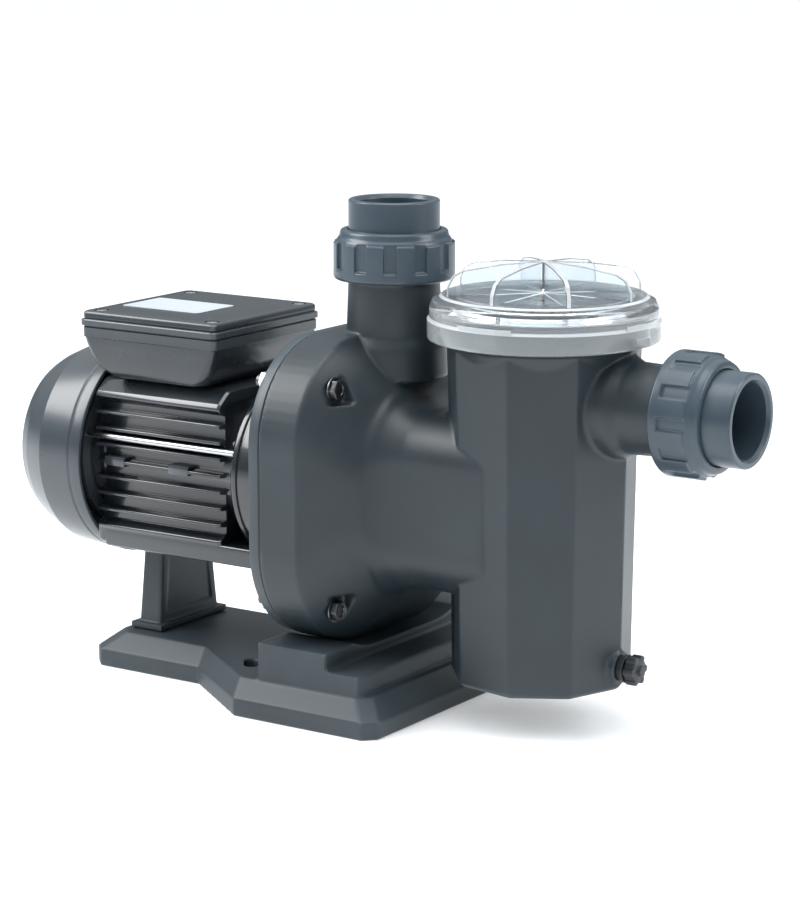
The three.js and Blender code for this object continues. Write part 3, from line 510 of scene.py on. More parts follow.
def base_hollow():
    wall = 4
    space = loft("space", [
        plan_ring(wall, -1), plan_ring(wall, SKIRT - 3), plan_ring(14 + wall, DECK - wall),
    ])
    ribs = [
        block("rib", (-230, 60), (-4, 4), (-2, DECK)),
        block("rib", (-4, 4), (-115, 115), (-2, DECK)),
        block("rib", (-120, -112), (-115, 115), (-2, DECK)),
    ]
    bosses = [
        block("boss", (SLOT_X - 12, SLOT_X + 12), (y - 12, y + 12), (-2, DECK))
        for y in (-SLOT_Y, SLOT_Y)
    ]
    return carved(space, *ribs, *bosses)


def hold_down_slot(side):
    slot = prism("slot", rounded_rect(10, 5, 4.8), "Z", -1, DECK + 2)
    spun(slot, "Z", side * SLOT_TURN, (0, 0))
    for vert in slot.data.vertices:
        vert.co.x += SLOT_X * MM
        vert.co.y += side * SLOT_Y * MM
    return slot


def base_stand():
    stand = loft("base_stand_fine", [plan_ring(0, 0), plan_ring(0, SKIRT), plan_ring(14, DECK)])
    stand = carved(stand, base_hollow())
    blocks = fused(
        block("blocks", (-46, 10), (-97.5, 97.5), (DECK - 2, 50)),
        block("step", (9, 36), (-97.5, 97.5), (DECK - 2, 38)),
    )
    reach = VOLUTE_HALF + 0.7
    cradle = prism("cradle", rounded_rect(reach, reach, VOLUTE_CORNER, 16), "X", -52, 60, (0, SHAFT_Z))
    stand = fused(stand, carved(blocks, cradle))
    stand = carved(stand, hold_down_slot(-1), hold_down_slot(1))
    moulded(stand, 1.3, 2, keep=0.22)
    return finish(stand, SURFACES["base_plastic"], "base_plastic", "base_stand")


def support_post():
    foot = block("motor_support_post_fine", (-203.7, -176.3), (-38.7, 38.7), (DECK + 0.4, DECK + 5))
    leg = loft("leg", [
        [(POST_X + u, v, z) for u, v in rounded_rect(hx, hy, 2.5)]
        for hx, hy, z in ((10, 34.5, DECK + 3), (9.6, 33.2, 40), (8.5, 29, 84))
    ])
    recess = loft("recess", [
        [(POST_X + 11.5 + u, v, z) for u, v in rounded_rect(3, hy, 2)]
        for hy, z in ((27, 36), (23, 76))
    ])
    post = moulded(fused(foot, carved(leg, recess)), 0.9, 2, keep=0.4)
    return finish(post, SURFACES["base_plastic"], "base_plastic", "motor_support_post")


# ---- pump body -----------------------------------------------------------------------------------

def spline(stations, steps):
    """Catmull-Rom curve through stations of any width."""
    ends = [stations[0], *stations, stations[-1]]
    curve = []
    for i in range(1, len(ends) - 2):
        before, start, end, after = ends[i - 1:i + 3]
        for k in range(steps):
            t = k / steps
            row = []
            for a, b, c, d in zip(before, start, end, after):
                bend = (2 * a - 5 * b + 4 * c - d) * t * t + (3 * b - a - 3 * c + d) * t ** 3
                row.append(0.5 * (2 * b + (c - a) * t + bend))
            curve.append(row)
    curve.append(list(stations[-1]))
    return curve


def volute():
    """Rounded square band, cone and the tube that runs to the pot. Stations are x, z, half width,
    half height and corner radius."""
    band = [
        (PLATE_FRONT + GAP, SHAFT_Z, VOLUTE_HALF, VOLUTE_HALF, VOLUTE_CORNER),
        (BAND_FRONT, SHAFT_Z, VOLUTE_HALF, VOLUTE_HALF, VOLUTE_CORNER),
    ]
    cone = [
        (-5, SHAFT_Z, 102.5, 102.5, 68), (19, SHAFT_Z, 79, 79, 66), (26, SHAFT_Z - 1, 70, 71, 50),
        (32, SHAFT_Z - 2, 64, 65, 38), (42, TUBE_Z, 60.5, 61, 31), (54, TUBE_Z, 59.3, 60, 30),
        (POT_X - 10, TUBE_Z, 59.3, 60, 30),
    ]
    rings = []
    for x, z, w, h, corner in band + spline(cone, 5):
        rings.append([(x, u, z + v) for u, v in rounded_rect(w, h, corner, 16)])
    return loft("pump_body_fine", rings)


def pot():
    sides = 9
    levels = [(57.5, POT_FLOOR), (61.5, POT_FLOOR + 3), (63.5, 180), (66, 258)]
    rings = [[(POT_X + u, v, z) for u, v in circle(r, sides)] for r, z in levels]
    return loft("pot", rings)


def pot_collar():
    return turned("collar", [
        (0, 236), (57.5, 236), (62, 250), (66, 258), (73, 259.5, 0.5), (73, 260.3, 0.3),
        (68.5, 260.3), (68.5, 276, 1.5), (0, 276),
    ], centre=(POT_X, 0))


def neck_lugs():
    lugs = []
    for i in range(4):
        lug = block("lug", (POT_X + 66.5, POT_X + 70.9), (-9, 9), (268, 272))
        lugs.append(spun(lug, "Z", 45 + 90 * i, (POT_X, 0)))
    return lugs


def thread(start, end):
    """Rounded thread form between two heights, as ridges on a port."""
    crest, root, pitch = 35, 33.4, 3.6
    ridges = []
    h = start
    while h + pitch < end:
        ridges += [(root, h + 0.4), (crest, h + 1.5), (crest, h + 2.3), (root, h + 3.4)]
        h += pitch
    return ridges


def port(name, profile, axis, centre, nut_back):
    end = nut_back + PORT_REACH
    rim = [(33.8, end - 2.4), (33.8, end, 0.8), (0, end)]
    return turned(name, profile + thread(nut_back + 1, end - 2.4) + rim, axis, centre)


def suction_port():
    profile = [
        (0, POT_X + 40), (36, POT_X + 40), (34, POT_X + 64, 6), (30.5, POT_X + 71, 5),
        (29.7, SUCTION_NUT - 1, 1),
    ]
    return port("suction_port", profile, "X", (0, SUCTION_Z), SUCTION_NUT)


def discharge_port():
    profile = [(0, 225), (37, 225), (35.5, 246, 8), (32.5, 254, 6), (31.2, DISCHARGE_NUT - 1, 1)]
    return port("discharge_port", profile, "Z", (0, 0), DISCHARGE_NUT)


def rod(name, radius, low, high, axis="X", centre=(0, 0), segments=48):
    return turned(name, [(0, low), (radius, low), (radius, high), (0, high)], axis, centre, segments)


def bolt_places():
    return [(sy * BOLT_Y, SHAFT_Z + sz * BOLT_DZ) for sy in (-1, 1) for sz in (-1, 1)]


def pump_body():
    drain = rod("drain_boss", 11, POT_X + 50, DRAIN_FACE, centre=(0, DRAIN_Z))
    outside = fused(
        volute(), pot(), pot_collar(), suction_port(), discharge_port(), drain, *neck_lugs(),
    )
    pot_space = turned("pot_space", [
        (0, POT_FLOOR + 7), (48, POT_FLOOR + 7), (54, POT_FLOOR + 13), (54, 252), (58, 252),
        (58, 277), (0, 277),
    ], centre=(POT_X, 0))
    spaces = [
        turned("chamber", [
            (0, PLATE_FRONT - 1), (90, PLATE_FRONT - 1), (90, -6), (78, 8), (78, 14), (0, 14),
        ], "X", (0, SHAFT_Z)),
        rod("throat", 34.5, 13, 23, centre=(0, SHAFT_Z)),
        rod("tube", 52, 22, POT_X, centre=(0, TUBE_Z)),
        rod("suction", PIPE_BORE, POT_X + 40, 300, centre=(0, SUCTION_Z)),
        rod("discharge", PIPE_BORE, 222, 330, "Z"),
        rod("drain", 6.4, POT_X + 40, POT_X + 70, centre=(0, DRAIN_Z)),
    ]
    grooves = [
        turned("groove", [(27.8, PORT_REACH + back - 3), (32.2, PORT_REACH + back - 3),
                          (32.2, PORT_REACH + back + 1), (27.8, PORT_REACH + back + 1)], axis, centre)
        for back, axis, centre in ((SUCTION_NUT, "X", (0, SUCTION_Z)), (DISCHARGE_NUT, "Z", (0, 0)))
    ]
    pockets = [prism("pocket", rounded_rect(10.5, 10.5, 3), "X", 2, 40, p) for p in bolt_places()]
    holes = [rod("hole", BOLT_HOLE_R, -60, 10, centre=p, segments=24) for p in bolt_places()]
    body = carved(outside, pot_space, *spaces, *grooves, *pockets, *holes)
    moulded(body, 1.25, 3, keep=0.4)
    return finish(body, SURFACES["body_plastic"], "body_plastic", "pump_body")


def seal_plate():
    half = VOLUTE_HALF - 1
    sides = [
        (PLATE_BACK, 1.2), (PLATE_BACK + 0.6, 0.3), (PLATE_BACK + 1.2, 0), (PLATE_FRONT - 1, 0),
        (PLATE_FRONT, 0.8),
    ]
    rings = []
    for x, inset in sides:
        outline = rounded_rect(half - inset, half - inset, VOLUTE_CORNER, 16)
        rings.append([(x, u, SHAFT_Z + v) for u, v in outline])
    plate = loft("seal_plate_fine", rings)
    holes = [rod("hole", BOLT_HOLE_R, -60, 10, centre=p, segments=24) for p in bolt_places()]
    seat = rod("seat", 17, PLATE_BACK + 3, PLATE_FRONT + 1, centre=(0, SHAFT_Z))
    shaft_hole = rod("shaft_hole", 11, PLATE_BACK - 1, PLATE_FRONT + 1, centre=(0, SHAFT_Z))
    groove = turned("groove", [
        (93.5, PLATE_FRONT - 3), (98.5, PLATE_FRONT - 3), (98.5, PLATE_FRONT + 1),
        (93.5, PLATE_FRONT + 1),
    ], "X", (0, SHAFT_Z))
    carved(plate, seat, shaft_hole, groove, *holes)
    return finish(plate, SURFACES["body_plastic"], "body_plastic", "seal_plate")


# ---- motor ---------------------------------------------------------------------------------------

def motor_section():
    """Finned section across the shaft: its right side from the bottom up, then the mirrored left."""
    pitch, thick, root, tip = 11.7, 1.15, 51.5, 58.5
    right = [
        (MOTOR_HALF - 2, -60.5, 4), (MOTOR_HALF - 1, -49, 1), (MOTOR_HALF - 0.2, -46.5, 1.6),
        (root, -42.5, 1.5),
    ]
    for k in range(-3, 4):
        z = k * pitch
        right += [
            (root, z - thick - 0.7, 0.8), (tip, z - thick, 1), (tip, z + thick, 1),
            (root, z + thick + 0.7, 0.8),
        ]
    right += [
        (root, 42.5, 1.5), (MOTOR_HALF - 0.2, 46.5, 2), (MOTOR_HALF - 2.5, 50.5, 3), (46, 58.8, 12),
    ]
    left = [(-y, z, r) for y, z, r in reversed(right)]
    return softened(right + left, True, 4)


def finned_body():
    """Fins from the cowl's mouth towards the pump, with their ends rounded off."""
    section = motor_section()
    rear, front = COWL_FRONT + 1, FIN_FRONT
    rings = []
    for x, inset in ((rear, 1.6), (rear + 0.6, 0.5), (rear + 1.8, 0), (front - 1.8, 0), (front, 1)):
        scale = 1 - inset / 60
        rings.append([(x, y * scale, SHAFT_Z + z * scale) for y, z in section])
    return loft("motor_housing_fine", rings)


def motor_pads():
    pads = []
    for x in (-200, -143):
        for side in (-1, 1):
            y = sorted((side * 51, side * 58.9))
            pad = block("pad", (x - 9, x + 9), y, (SHAFT_Z - 3, SHAFT_Z + 4))
            pads.append(bevelled(pad, 1.0))
    return pads


def tie_rod_places():
    return [(-56, 17.5), (17.5, 56), (56, -17.5), (-17.5, -56)]


def motor_housing():
    barrel = turned("barrel", [
        (0, MOTOR_REAR), (53, MOTOR_REAR, 1), (53, MOTOR_REAR + 12), (51.8, MOTOR_REAR + 13),
        (51.8, MOTOR_FRONT), (0, MOTOR_FRONT),
    ], "X", (0, SHAFT_Z))
    rail = block("rail", (COWL_FRONT + 7, PLATE_BACK - 3), (-58, 58), (PAD_TOP + 0.2, 101.5))
    rail = bevelled(rail, 2.2, 4)
    clearance = rod("clearance", 66.8, MOTOR_FRONT - 1, 0, centre=(0, SHAFT_Z), segments=96)
    housing = fused(finned_body(), barrel, carved(rail, clearance), *motor_pads())
    tunnels = [rod("tunnel", 3.2, -240, -60, centre=(y, SHAFT_Z + z), segments=20)
               for y, z in tie_rod_places()]
    bore = rod("bore", STATOR_BORE, MOTOR_REAR - 1, MOTOR_FRONT + 1, centre=(0, SHAFT_Z), segments=96)
    cable_way = rod("cable_way", 9, 190, 215, "Z", (CABLE_X, 0))
    carved(housing, bore, cable_way, *tunnels)
    return finish(housing, SURFACES["motor_paint"], "motor_paint", "motor_housing", crease=30)


def drive_shield():
    back, front = MOTOR_FRONT + GAP, PLATE_BACK - GAP
    shield = turned("drive_end_shield_fine", [
        (20.3, -54), (20.3, back + 12), (STATOR_BORE, back + 12), (STATOR_BORE, back), (62, back, 1),
        (65.5, back + 3.5, 1.5), (65.5, back + 6.8, 0.6), (64.3, back + 7.8, 0.4),
        (64.3, back + 9.5, 0.4), (66.5, back + 10.8, 0.8), (66.5, front, 0.8), (11.5, front),
        (11.5, -54),
    ], "X", (0, SHAFT_Z), 128)
    sockets = [rod("socket", 2.8, back - 5, -80, centre=(y, SHAFT_Z + z), segments=16)
               for y, z in tie_rod_places()]
    carved(shield, *sockets)
    return finish(shield, SURFACES["motor_paint"], "motor_paint", "drive_end_shield")


def tie_rods():
    for i, (y, z) in enumerate(tie_rod_places()):
        at = (y, SHAFT_Z + z)
        stem = turned(f"tie_rod_{i + 1}_fine", [
            (0, MOTOR_REAR - 6), (2.3, MOTOR_REAR - 6), (2.3, MOTOR_FRONT + 12.4, 0.6),
            (0, MOTOR_FRONT + 13),
        ], "X", at, 24)
        head = prism("head", circle(4.4, 6), "X", MOTOR_REAR - 9, MOTOR_REAR - 5.3, at)
        fused(stem, bevelled(head, 0.4))
        finish(stem, SURFACES["steel"], "steel", f"tie_rod_{i + 1}")


def cowl_slots():
    """Ring slots of the grille, broken by eight spokes."""
    tools = []
    for inner in (15, 23.5, 32, 40.5):
        outer = inner + 5.2
        ring = turned("slot", [
            (inner, COWL_REAR - 2), (outer, COWL_REAR - 2), (outer, COWL_REAR + 12),
            (inner, COWL_REAR + 12),
        ], "X", (0, SHAFT_Z), 64)
        bars = []
        for k in range(4):
            bar = block("bar", (-300, -250), (-2, 2), (SHAFT_Z - 60, SHAFT_Z + 60))
            bars.append(spun(bar, "X", 45 * k, (0, SHAFT_Z)))
        tools.append(carved(ring, *bars))
    return tools


def fan_cowl():
    shell = turned("fan_cowl_fine", [
        (0, COWL_REAR + 2.9), (30, COWL_REAR + 3.4), (46, COWL_REAR + 4.8, 12),
        (56.5, COWL_REAR + 10, 9), (63.2, COWL_REAR + 19.5, 14), (71, COWL_REAR + 36.5, 2),
        (73.4, COWL_FRONT - 12, 6), (74.6, COWL_FRONT), (COWL_R, COWL_FRONT, 0.8),
        (COWL_R, COWL_FRONT - 8.4, 0.7), (76, COWL_FRONT - 9.2, 0.4), (75.4, COWL_FRONT - 10.4, 0.4),
        (76, COWL_FRONT - 12, 1), (73.8, COWL_REAR + 36, 1.2), (65.4, COWL_REAR + 17, 12),
        (59.4, COWL_REAR + 7, 8), (48, COWL_REAR + 2, 12), (30, COWL_REAR + 0.6, 10),
        (0, COWL_REAR + 0.1),
    ], "X", (0, SHAFT_Z), 144)
    carved(shell, *cowl_slots())
    return finish(shell, SURFACES["cowl_plastic"], "cowl_plastic", "fan_cowl", crease=40)


# ---- terminal box --------------------------------------------------------------------------------

def level_ring(x, z, half_x, half_y, corner):
    return [(x + u, v, z) for u, v in rounded_rect(half_x, half_y, corner)]


def box_solid(name, inset):
    """Solid of the terminal box, or with an inset the space inside it, which runs out at the top."""
    edge = BOX_RIM if inset else BOX_RIM - 0.4
    top = BOX_RIM + 1 if inset else BOX_RIM
    levels = [
        (-163, BOX_BOTTOM + inset, 33, 50, 10), (-164, BOX_BOTTOM + 2.6 + inset / 2, 42, 56.6, 10),
        (-165.5, BOX_BOTTOM + 10, 51.2, 59.8, 8), (-166, BOX_BOTTOM + 22, 56.6, 60.8, 6),
        (-166.2, BOX_RIM - 7.4, 58.6, 61.0, 5),
    ]
    rim = [
        (-166.3, BOX_RIM - 6.8, 59.6, 61.5, 5), (-166.3, edge, 59.7, 61.5, 5),
        (-166.3, top, 59.3, 61.1, 5),
    ]
    rings = []
    for x, z, hx, hy, corner in spline(levels, 5) + rim:
        rings.append(level_ring(x, z, hx - inset, hy - inset, max(corner - inset, 2)))
    return loft(name, rings)


def box_screw_places():
    return [(middle(f"box_screw_{i}", X), middle(f"box_screw_{i}", Y)) for i in range(1, 5)]


def terminal_box():
    shell = box_solid("terminal_box_fine", 0)
    motor_line = (0, SHAFT_Z)
    outer_room = rod("room", COWL_R + 1.2, COWL_REAR, COWL_FRONT + 1, "X", motor_line, 128)
    inner_room = rod("inner_room", COWL_R + 4.2, COWL_REAR, COWL_FRONT + 4, "X", motor_line, 128)
    space = carved(box_solid("space", 3), inner_room)
    gland_hole = rod("gland_hole", 8.3, 50, 70, "Y", GLAND_HOLE)
    cable_way = rod("cable_way", 8, 200, 220, "Z", (CABLE_X, 0))
    carved(shell, outer_room, space, gland_hole, cable_way)
    return finish(shell, SURFACES["box_plastic"], "box_plastic", "terminal_box", crease=28)


def terminal_box_lid():
    x = middle("terminal_box_lid", X)
    steps = [
        (1.0, 60.1, 62.1, 5), (1.4, 60.5, 62.5, 5), (4.9, 60.5, 62.5, 5), (5.5, 60.0, 62.0, 5),
        (5.7, 58.6, 60.6, 4), (6.4, 58.5, 60.5, 4), (6.8, 58.9, 60.9, 4), (9.6, 58.9, 60.9, 4),
        (10.6, 58.4, 60.4, 4), (11.2, 57.6, 59.6, 4), (11.4, 56.6, 58.6, 4),
    ]
    rings = [level_ring(x, BOX_RIM + up, hx, hy, corner) for up, hx, hy, corner in steps]
    lid = loft("terminal_box_lid_fine", rings)
    room = loft("room", [
        level_ring(x, BOX_RIM, 56.5, 58.5, 3), level_ring(x, BOX_TOP - 2.6, 56, 58, 3),
    ])
    bosses = [rod("boss", 5.4, BOX_RIM + 1, BOX_TOP - 1, "Z", p, 32) for p in box_screw_places()]
    holes = [rod("hole", 2.6, BOX_RIM - 2, BOX_TOP + 2, "Z", p, 24) for p in box_screw_places()]
    sinks = [rod("sink", 5, BOX_TOP - 2.2, BOX_TOP + 2, "Z", p, 32) for p in box_screw_places()]
    lid = fused(carved(lid, room), *bosses)
    carved(lid, *holes, *sinks)
    return finish(lid, SURFACES["box_plastic"], "box_plastic", "terminal_box_lid", crease=28)


def box_screws():
    for i, (x, y) in enumerate(box_screw_places()):
        screw = turned(f"box_screw_{i + 1}_fine", [
            (0, BOX_RIM - 10), (1.8, BOX_RIM - 9), (1.8, BOX_TOP - 1.9), (4.3, BOX_TOP - 1.8, 0.3),
            (4.1, BOX_TOP - 0.3, 0.8), (0, BOX_TOP + 0.35),
        ], "Z", (x, y), 32)
        cross = fused(
            block("cross", (x - 2.4, x + 2.4), (y - 0.5, y + 0.5), (BOX_TOP - 1, BOX_TOP + 2)),
            block("arm", (x - 0.5, x + 0.5), (y - 2.4, y + 2.4), (BOX_TOP - 1, BOX_TOP + 2)),
        )
        carved(screw, cross)
        finish(screw, SURFACES["steel"], "steel", f"box_screw_{i + 1}")


def rating_label():
    (x0, y0, z0), (x1, y1, z1) = span("rating_label")
    centre = ((x0 + x1) / 2, (y0 + y1) / 2)
    outline = rounded_rect((x1 - x0) / 2, (y1 - y0) / 2, 2.5)
    film = prism("rating_label_fine", outline, "Z", z0, z1, centre)
    return finish(film, SURFACES["label_film"], "label_film", "rating_label")


def cable_gland():
    at = (middle("cable_gland", X), middle("cable_gland", Z))
    gland = turned("cable_gland_fine", [
        (3.5, 53), (8, 53, 0.5), (8, 61.8), (11.6, 61.8, 0.5), (11.6, 62.6), (10.2, 68),
        (10.5, 68.6, 0.3), (10.5, 79, 1.5), (8, 83, 1), (3.5, 83, 0.6),
    ], "Y", at, 48)
    hexagon = carved(prism("hexagon", circle(12, 6), "Y", 62, 68, at), rod("hole", 6, 60, 70, "Y", at))
    ribs = []
    for k in range(12):
        rib = block("rib", (at[0] - 0.7, at[0] + 0.7), (69.5, 78), (at[1] + 9.5, at[1] + 11.3))
        ribs.append(spun(rib, "Y", 30 * k, at))
    fused(gland, bevelled(hexagon, 0.5), *ribs)
    return finish(gland, SURFACES["inner_plastic"], "inner_plastic", "cable_gland")


# ---- unions --------------------------------------------------------------------------------------

def union_nut(name, node, axis, centre, back):
    """Nut with a plain flange at its back, a stepped shoulder and raised grip lugs."""
    core = NUT_R - 2.3
    nut = turned(name, [
        (36, back + 0.2, 0.6), (NUT_R - 1.4, back, 1.2), (NUT_R, back + 1.6, 1),
        (NUT_R, back + 7, 0.8), (core, back + 8, 0.8), (core, back + 27, 1.5),
        (core - 1.6, back + 29, 2),
        (NUT_R - 5, back + NUT_LENGTH - 0.6, 2), (SOCKET_R + 2.5, back + NUT_LENGTH, 0.6),
        (SOCKET_R + 0.5, back + NUT_LENGTH, 0.4), (SOCKET_R + 0.5, back + NUT_LENGTH - 5),
        (36, back + NUT_LENGTH - 5),
    ], axis, centre, 128)
    lugs = []
    count = 12
    crest, foot = NUT_R - 0.05, NUT_R - 4
    sweep = [math.radians(17.5) * a / 6 for a in range(-3, 4)]
    outline = [(crest * math.cos(a), crest * math.sin(a)) for a in sweep]
    outline += [(foot * math.cos(a), foot * math.sin(a)) for a in reversed(sweep)]
    for k in range(count):
        lug = prism("lug", outline, axis, back + 5, back + 25.5, centre)
        lugs.append(spun(lug, axis, (k + 0.5) * 360 / count, centre))
    fused(nut, *lugs)
    moulded(nut, 0.62, 2, keep=0.45)
    return finish(nut, SURFACES["union_plastic"], "union_plastic", node)


def tailpiece(name, node, axis, centre, back):
    seat = back + PORT_REACH + GAP
    flange = back + NUT_LENGTH - 5.3
    end = back + UNION_REACH
    socket = turned(name, [
        (PIPE_BORE, seat, 0.4), (35.5, seat, 0.5), (35.5, flange, 0.5), (SOCKET_R, flange, 0.4),
        (SOCKET_R, end - 1, 0.8), (SOCKET_R - 1, end, 0.8), (PIPE_BORE + 1.8, end, 0.5),
        (PIPE_BORE, end - 2.6, 0.8),
    ], axis, centre, 128)
    return finish(socket, SURFACES["union_plastic"], "union_plastic", node, crease=50)


def unions():
    places = [("suction", "X", (0, SUCTION_Z), SUCTION_NUT), ("discharge", "Z", (0, 0), DISCHARGE_NUT)]
    for which, axis, centre, back in places:
        union_nut(f"{which}_nut_fine", f"{which}_union_nut", axis, centre, back)
        tailpiece(f"{which}_socket_fine", f"{which}_tailpiece", axis, centre, back)
        ring_at = back + PORT_REACH - 1.45
        ring = turned(f"{which}_ring_fine", ring_profile(30, ring_at, 1.4), axis, centre)
        finish(ring, SURFACES["rubber"], "rubber", f"{which}_seal")


def ring_profile(radius, along, half):
    return [(radius + half * u, along + half * v) for u, v in circle(1, 12)]


def o_rings():
    lid_ring = turned("lid_ring_fine", ring_profile(62.5, (276 + LID_SEAT) / 2, 1.6), "Z", (POT_X, 0))
    finish(lid_ring, SURFACES["rubber"], "rubber", "lid_seal")
    drain_profile = ring_profile(7.6, DRAIN_FACE + 1.3, 1.1)
    drain_ring = turned("drain_ring_fine", drain_profile, "X", (0, DRAIN_Z), 48)
    finish(drain_ring, SURFACES["rubber"], "rubber", "drain_seal")


# ---- strainer ------------------------------------------------------------------------------------

def lid_rib(turn):
    """Grip rib right across the lid, highest in the middle."""
    half = [(65.5, 286, 0), (65.2, 296, 3), (61.5, 303.2, 4), (55, 306.5, 5), (30, 310, 20)]
    outline = softened(
        half + [(0, LID_PEAK - 0.3, 0)] + [(-r, z, c) for r, z, c in reversed(half)], True, 4)
    rings = []
    for y, inset in ((-1.8, 0.5), (-1.3, 0), (1.3, 0), (1.8, 0.5)):
        scale = 1 - inset / 60
        rings.append([(POT_X + r * scale, y, 286 + (z - 286) * (1 - inset / 26)) for r, z in outline])
    return spun(loft("rib", rings), "Z", turn, (POT_X, 0))


def lid_band(turn):
    """Thicker stretch of the lid's skirt that ends in a square step."""
    inner, outer = LID_R - 4, LID_R - 0.15
    angles = [math.radians(turn + a) for a in range(-30, 1, 2)]
    outline = [(outer * math.cos(a), outer * math.sin(a)) for a in angles]
    outline += [(inner * math.cos(a), inner * math.sin(a)) for a in reversed(angles)]
    return prism("band", outline, "Z", 268, 277, (POT_X, 0))


def paint_lid_highlights(lid, highlight_slot=1, sheen_slot=2):
    """Gives the narrow edges of the ribs and the ledges a whiter, less clear copy of the lid's material
    as painted highlights, and the skirt a lighter, less clear copy as a painted sheen.
    """
    lid.data.materials.append(PAINTED_HIGHLIGHT_CLEAR)
    lid.data.materials.append(PAINTED_SHEEN_CLEAR)
    for face in lid.data.polygons:
        centre = face.center / MM
        across = Vector((centre.x - POT_X, centre.y))
        turn = math.radians(45 * round(math.degrees(math.atan2(across.y, across.x)) / 45))
        sideways = abs(face.normal.y * math.cos(turn) - face.normal.x * math.sin(turn))
        on_rib = centre.z > 291.4 and sideways < 0.6
        low_ledge = 273 < centre.z < 275.4 and across.length > 75
        high_ledge = 288.5 < centre.z < 290.2 and 67.3 < across.length < 69.3
        skirt = across.length > 72.5 and 261 < centre.z < 283 and face.normal.z < 0.5
        if on_rib or low_ledge or high_ledge:
            face.material_index = highlight_slot
        elif skirt:
            face.material_index = sheen_slot


def strainer_lid():
    lid = turned("strainer_lid_fine", [
        (0, 284.4), (57, 284, 2), (58.6, LID_SEAT, 0.8), (72.2, LID_SEAT, 1.2), (72.2, LID_BOTTOM, 0.8),
        (LID_R, LID_BOTTOM, 1.2), (LID_R, 273.6, 0.8), (75.8, 275, 0.8), (75.8, 282, 3),
        (73.6, 286.6, 3), (69, 288.8, 2), (67.6, 290, 0.8), (0, 291),
    ], centre=(POT_X, 0), segments=144)
    ribs = [lid_rib(45 * k) for k in range(4)]
    lugs = []
    for k in range(4):
        lug = block("lug", (POT_X + 69.4, POT_X + 73.5), (-8, 8), (262.5, 266.5))
        lugs.append(spun(lug, "Z", 90 * k, (POT_X, 0)))
    bands = [lid_band(-75 + 90 * k) for k in range(4)]
    fused(lid, *ribs, *lugs, *bands)
    finish(lid, SURFACES["clear_plastic"], "clear_plastic", "strainer_lid", crease=25)
    paint_lid_highlights(lid)


def basket_slots():
    """Rows of upright slots in the basket's wall."""
    tools = []
    count = 20
    for z in (66, 107, 148):
        for k in range(count):
            slot = block("slot", (POT_X + 36, POT_X + 56), (-2.6, 2.6), (z, z + 35))
            tools.append(spun(slot, "Z", (k + 0.5) * 360 / count, (POT_X, 0)))
    for k in range(16):
        if abs(math.remainder(22.5 * k, 360)) > 32:
            slot = block("slot", (POT_X + 36, POT_X + 56), (-2.6, 2.6), (190, 226))
            tools.append(spun(slot, "Z", 22.5 * k, (POT_X, 0)))
    return joined("slots", tools)


def basket_handle():
    """Arched handle that stands on the basket's rim."""
    half = [(49.2, 255.9, 0), (49.2, 258, 1), (46, 262.5, 8), (38, 269.5, 12), (20, 275.6, 10)]
    path = [(-r, z, c) for r, z, c in half] + list(reversed(half))
    middle_line = softened(path, False, 5)
    rings = []
    for i, here in enumerate(middle_line):
        before = middle_line[max(i - 1, 0)]
        after = middle_line[min(i + 1, len(middle_line) - 1)]
        along = (after - before).normalized()
        across = Vector((-along.y, along.x))
        ring = []
        for u, v in rounded_rect(1.7, 2.9, 1.2, 3):
            point = here + across * u
            ring.append((POT_X + point.x, v, point.y))
        rings.append(ring)
    bail = loft("basket_handle_fine", rings)
    return finish(bail, SURFACES["basket_plastic"], "basket_plastic", "basket_handle")


def strainer_basket():
    cup = turned("strainer_basket_fine", [
        (0, 56), (43, 56, 2), (49.4, 236), (50.4, 252.4, 0.4), (57, 252.4, 0.4), (57, 255.4, 0.8),
        (48.6, 255.4, 0.8), (47, 236), (40.6, 58.6, 1.5), (0, 58.6),
    ], centre=(POT_X, 0))
    inlet = rod("inlet", 22, POT_X + 30, POT_X + 60, centre=(0, SUCTION_Z))
    holes = []
    for r, count in ((11, 6), (21, 12), (31, 18)):
        for k in range(count):
            a = 2 * math.pi * k / count
            at = (POT_X + r * math.cos(a), r * math.sin(a))
            holes.append(rod("hole", 2.4, 50, 62, "Z", at, 12))
    carved(cup, basket_slots(), inlet, joined("holes", holes))
    return finish(cup, SURFACES["basket_plastic"], "basket_plastic", "strainer_basket")


def drain_plug():
    face = DRAIN_FACE
    plug = turned("drain_plug_fine", [
        (0, POT_X + 53.5), (5.2, POT_X + 53.5), (6, POT_X + 54.5), (6, face + 2.6),
        (9.5, face + 2.6, 0.4), (9.5, face + 5, 0.6), (6, face + 5.4), (6, face + 6),
        (8.6, face + 6.2, 0.5), (8.6, face + 13.6, 1), (3.5, face + 14, 0.4),
        (3.3, face + 15.8, 0.6), (0, face + 15.9),
    ], "X", (0, DRAIN_Z), 64)
    lobes = []
    for k in range(6):
        a = k * math.pi / 3
        at = (7.9 * math.cos(a), DRAIN_Z + 7.9 * math.sin(a))
        lobes.append(turned("lobe", [
            (0, face + 6.2), (2.6, face + 6.2, 0.6), (2.6, face + 13.8, 0.8), (0, face + 13.8),
        ], "X", at, 20))
    fused(plug, *lobes)
    return finish(plug, SURFACES["inner_plastic"], "inner_plastic", "drain_plug")


# ---- fasteners -----------------------------------------------------------------------------------

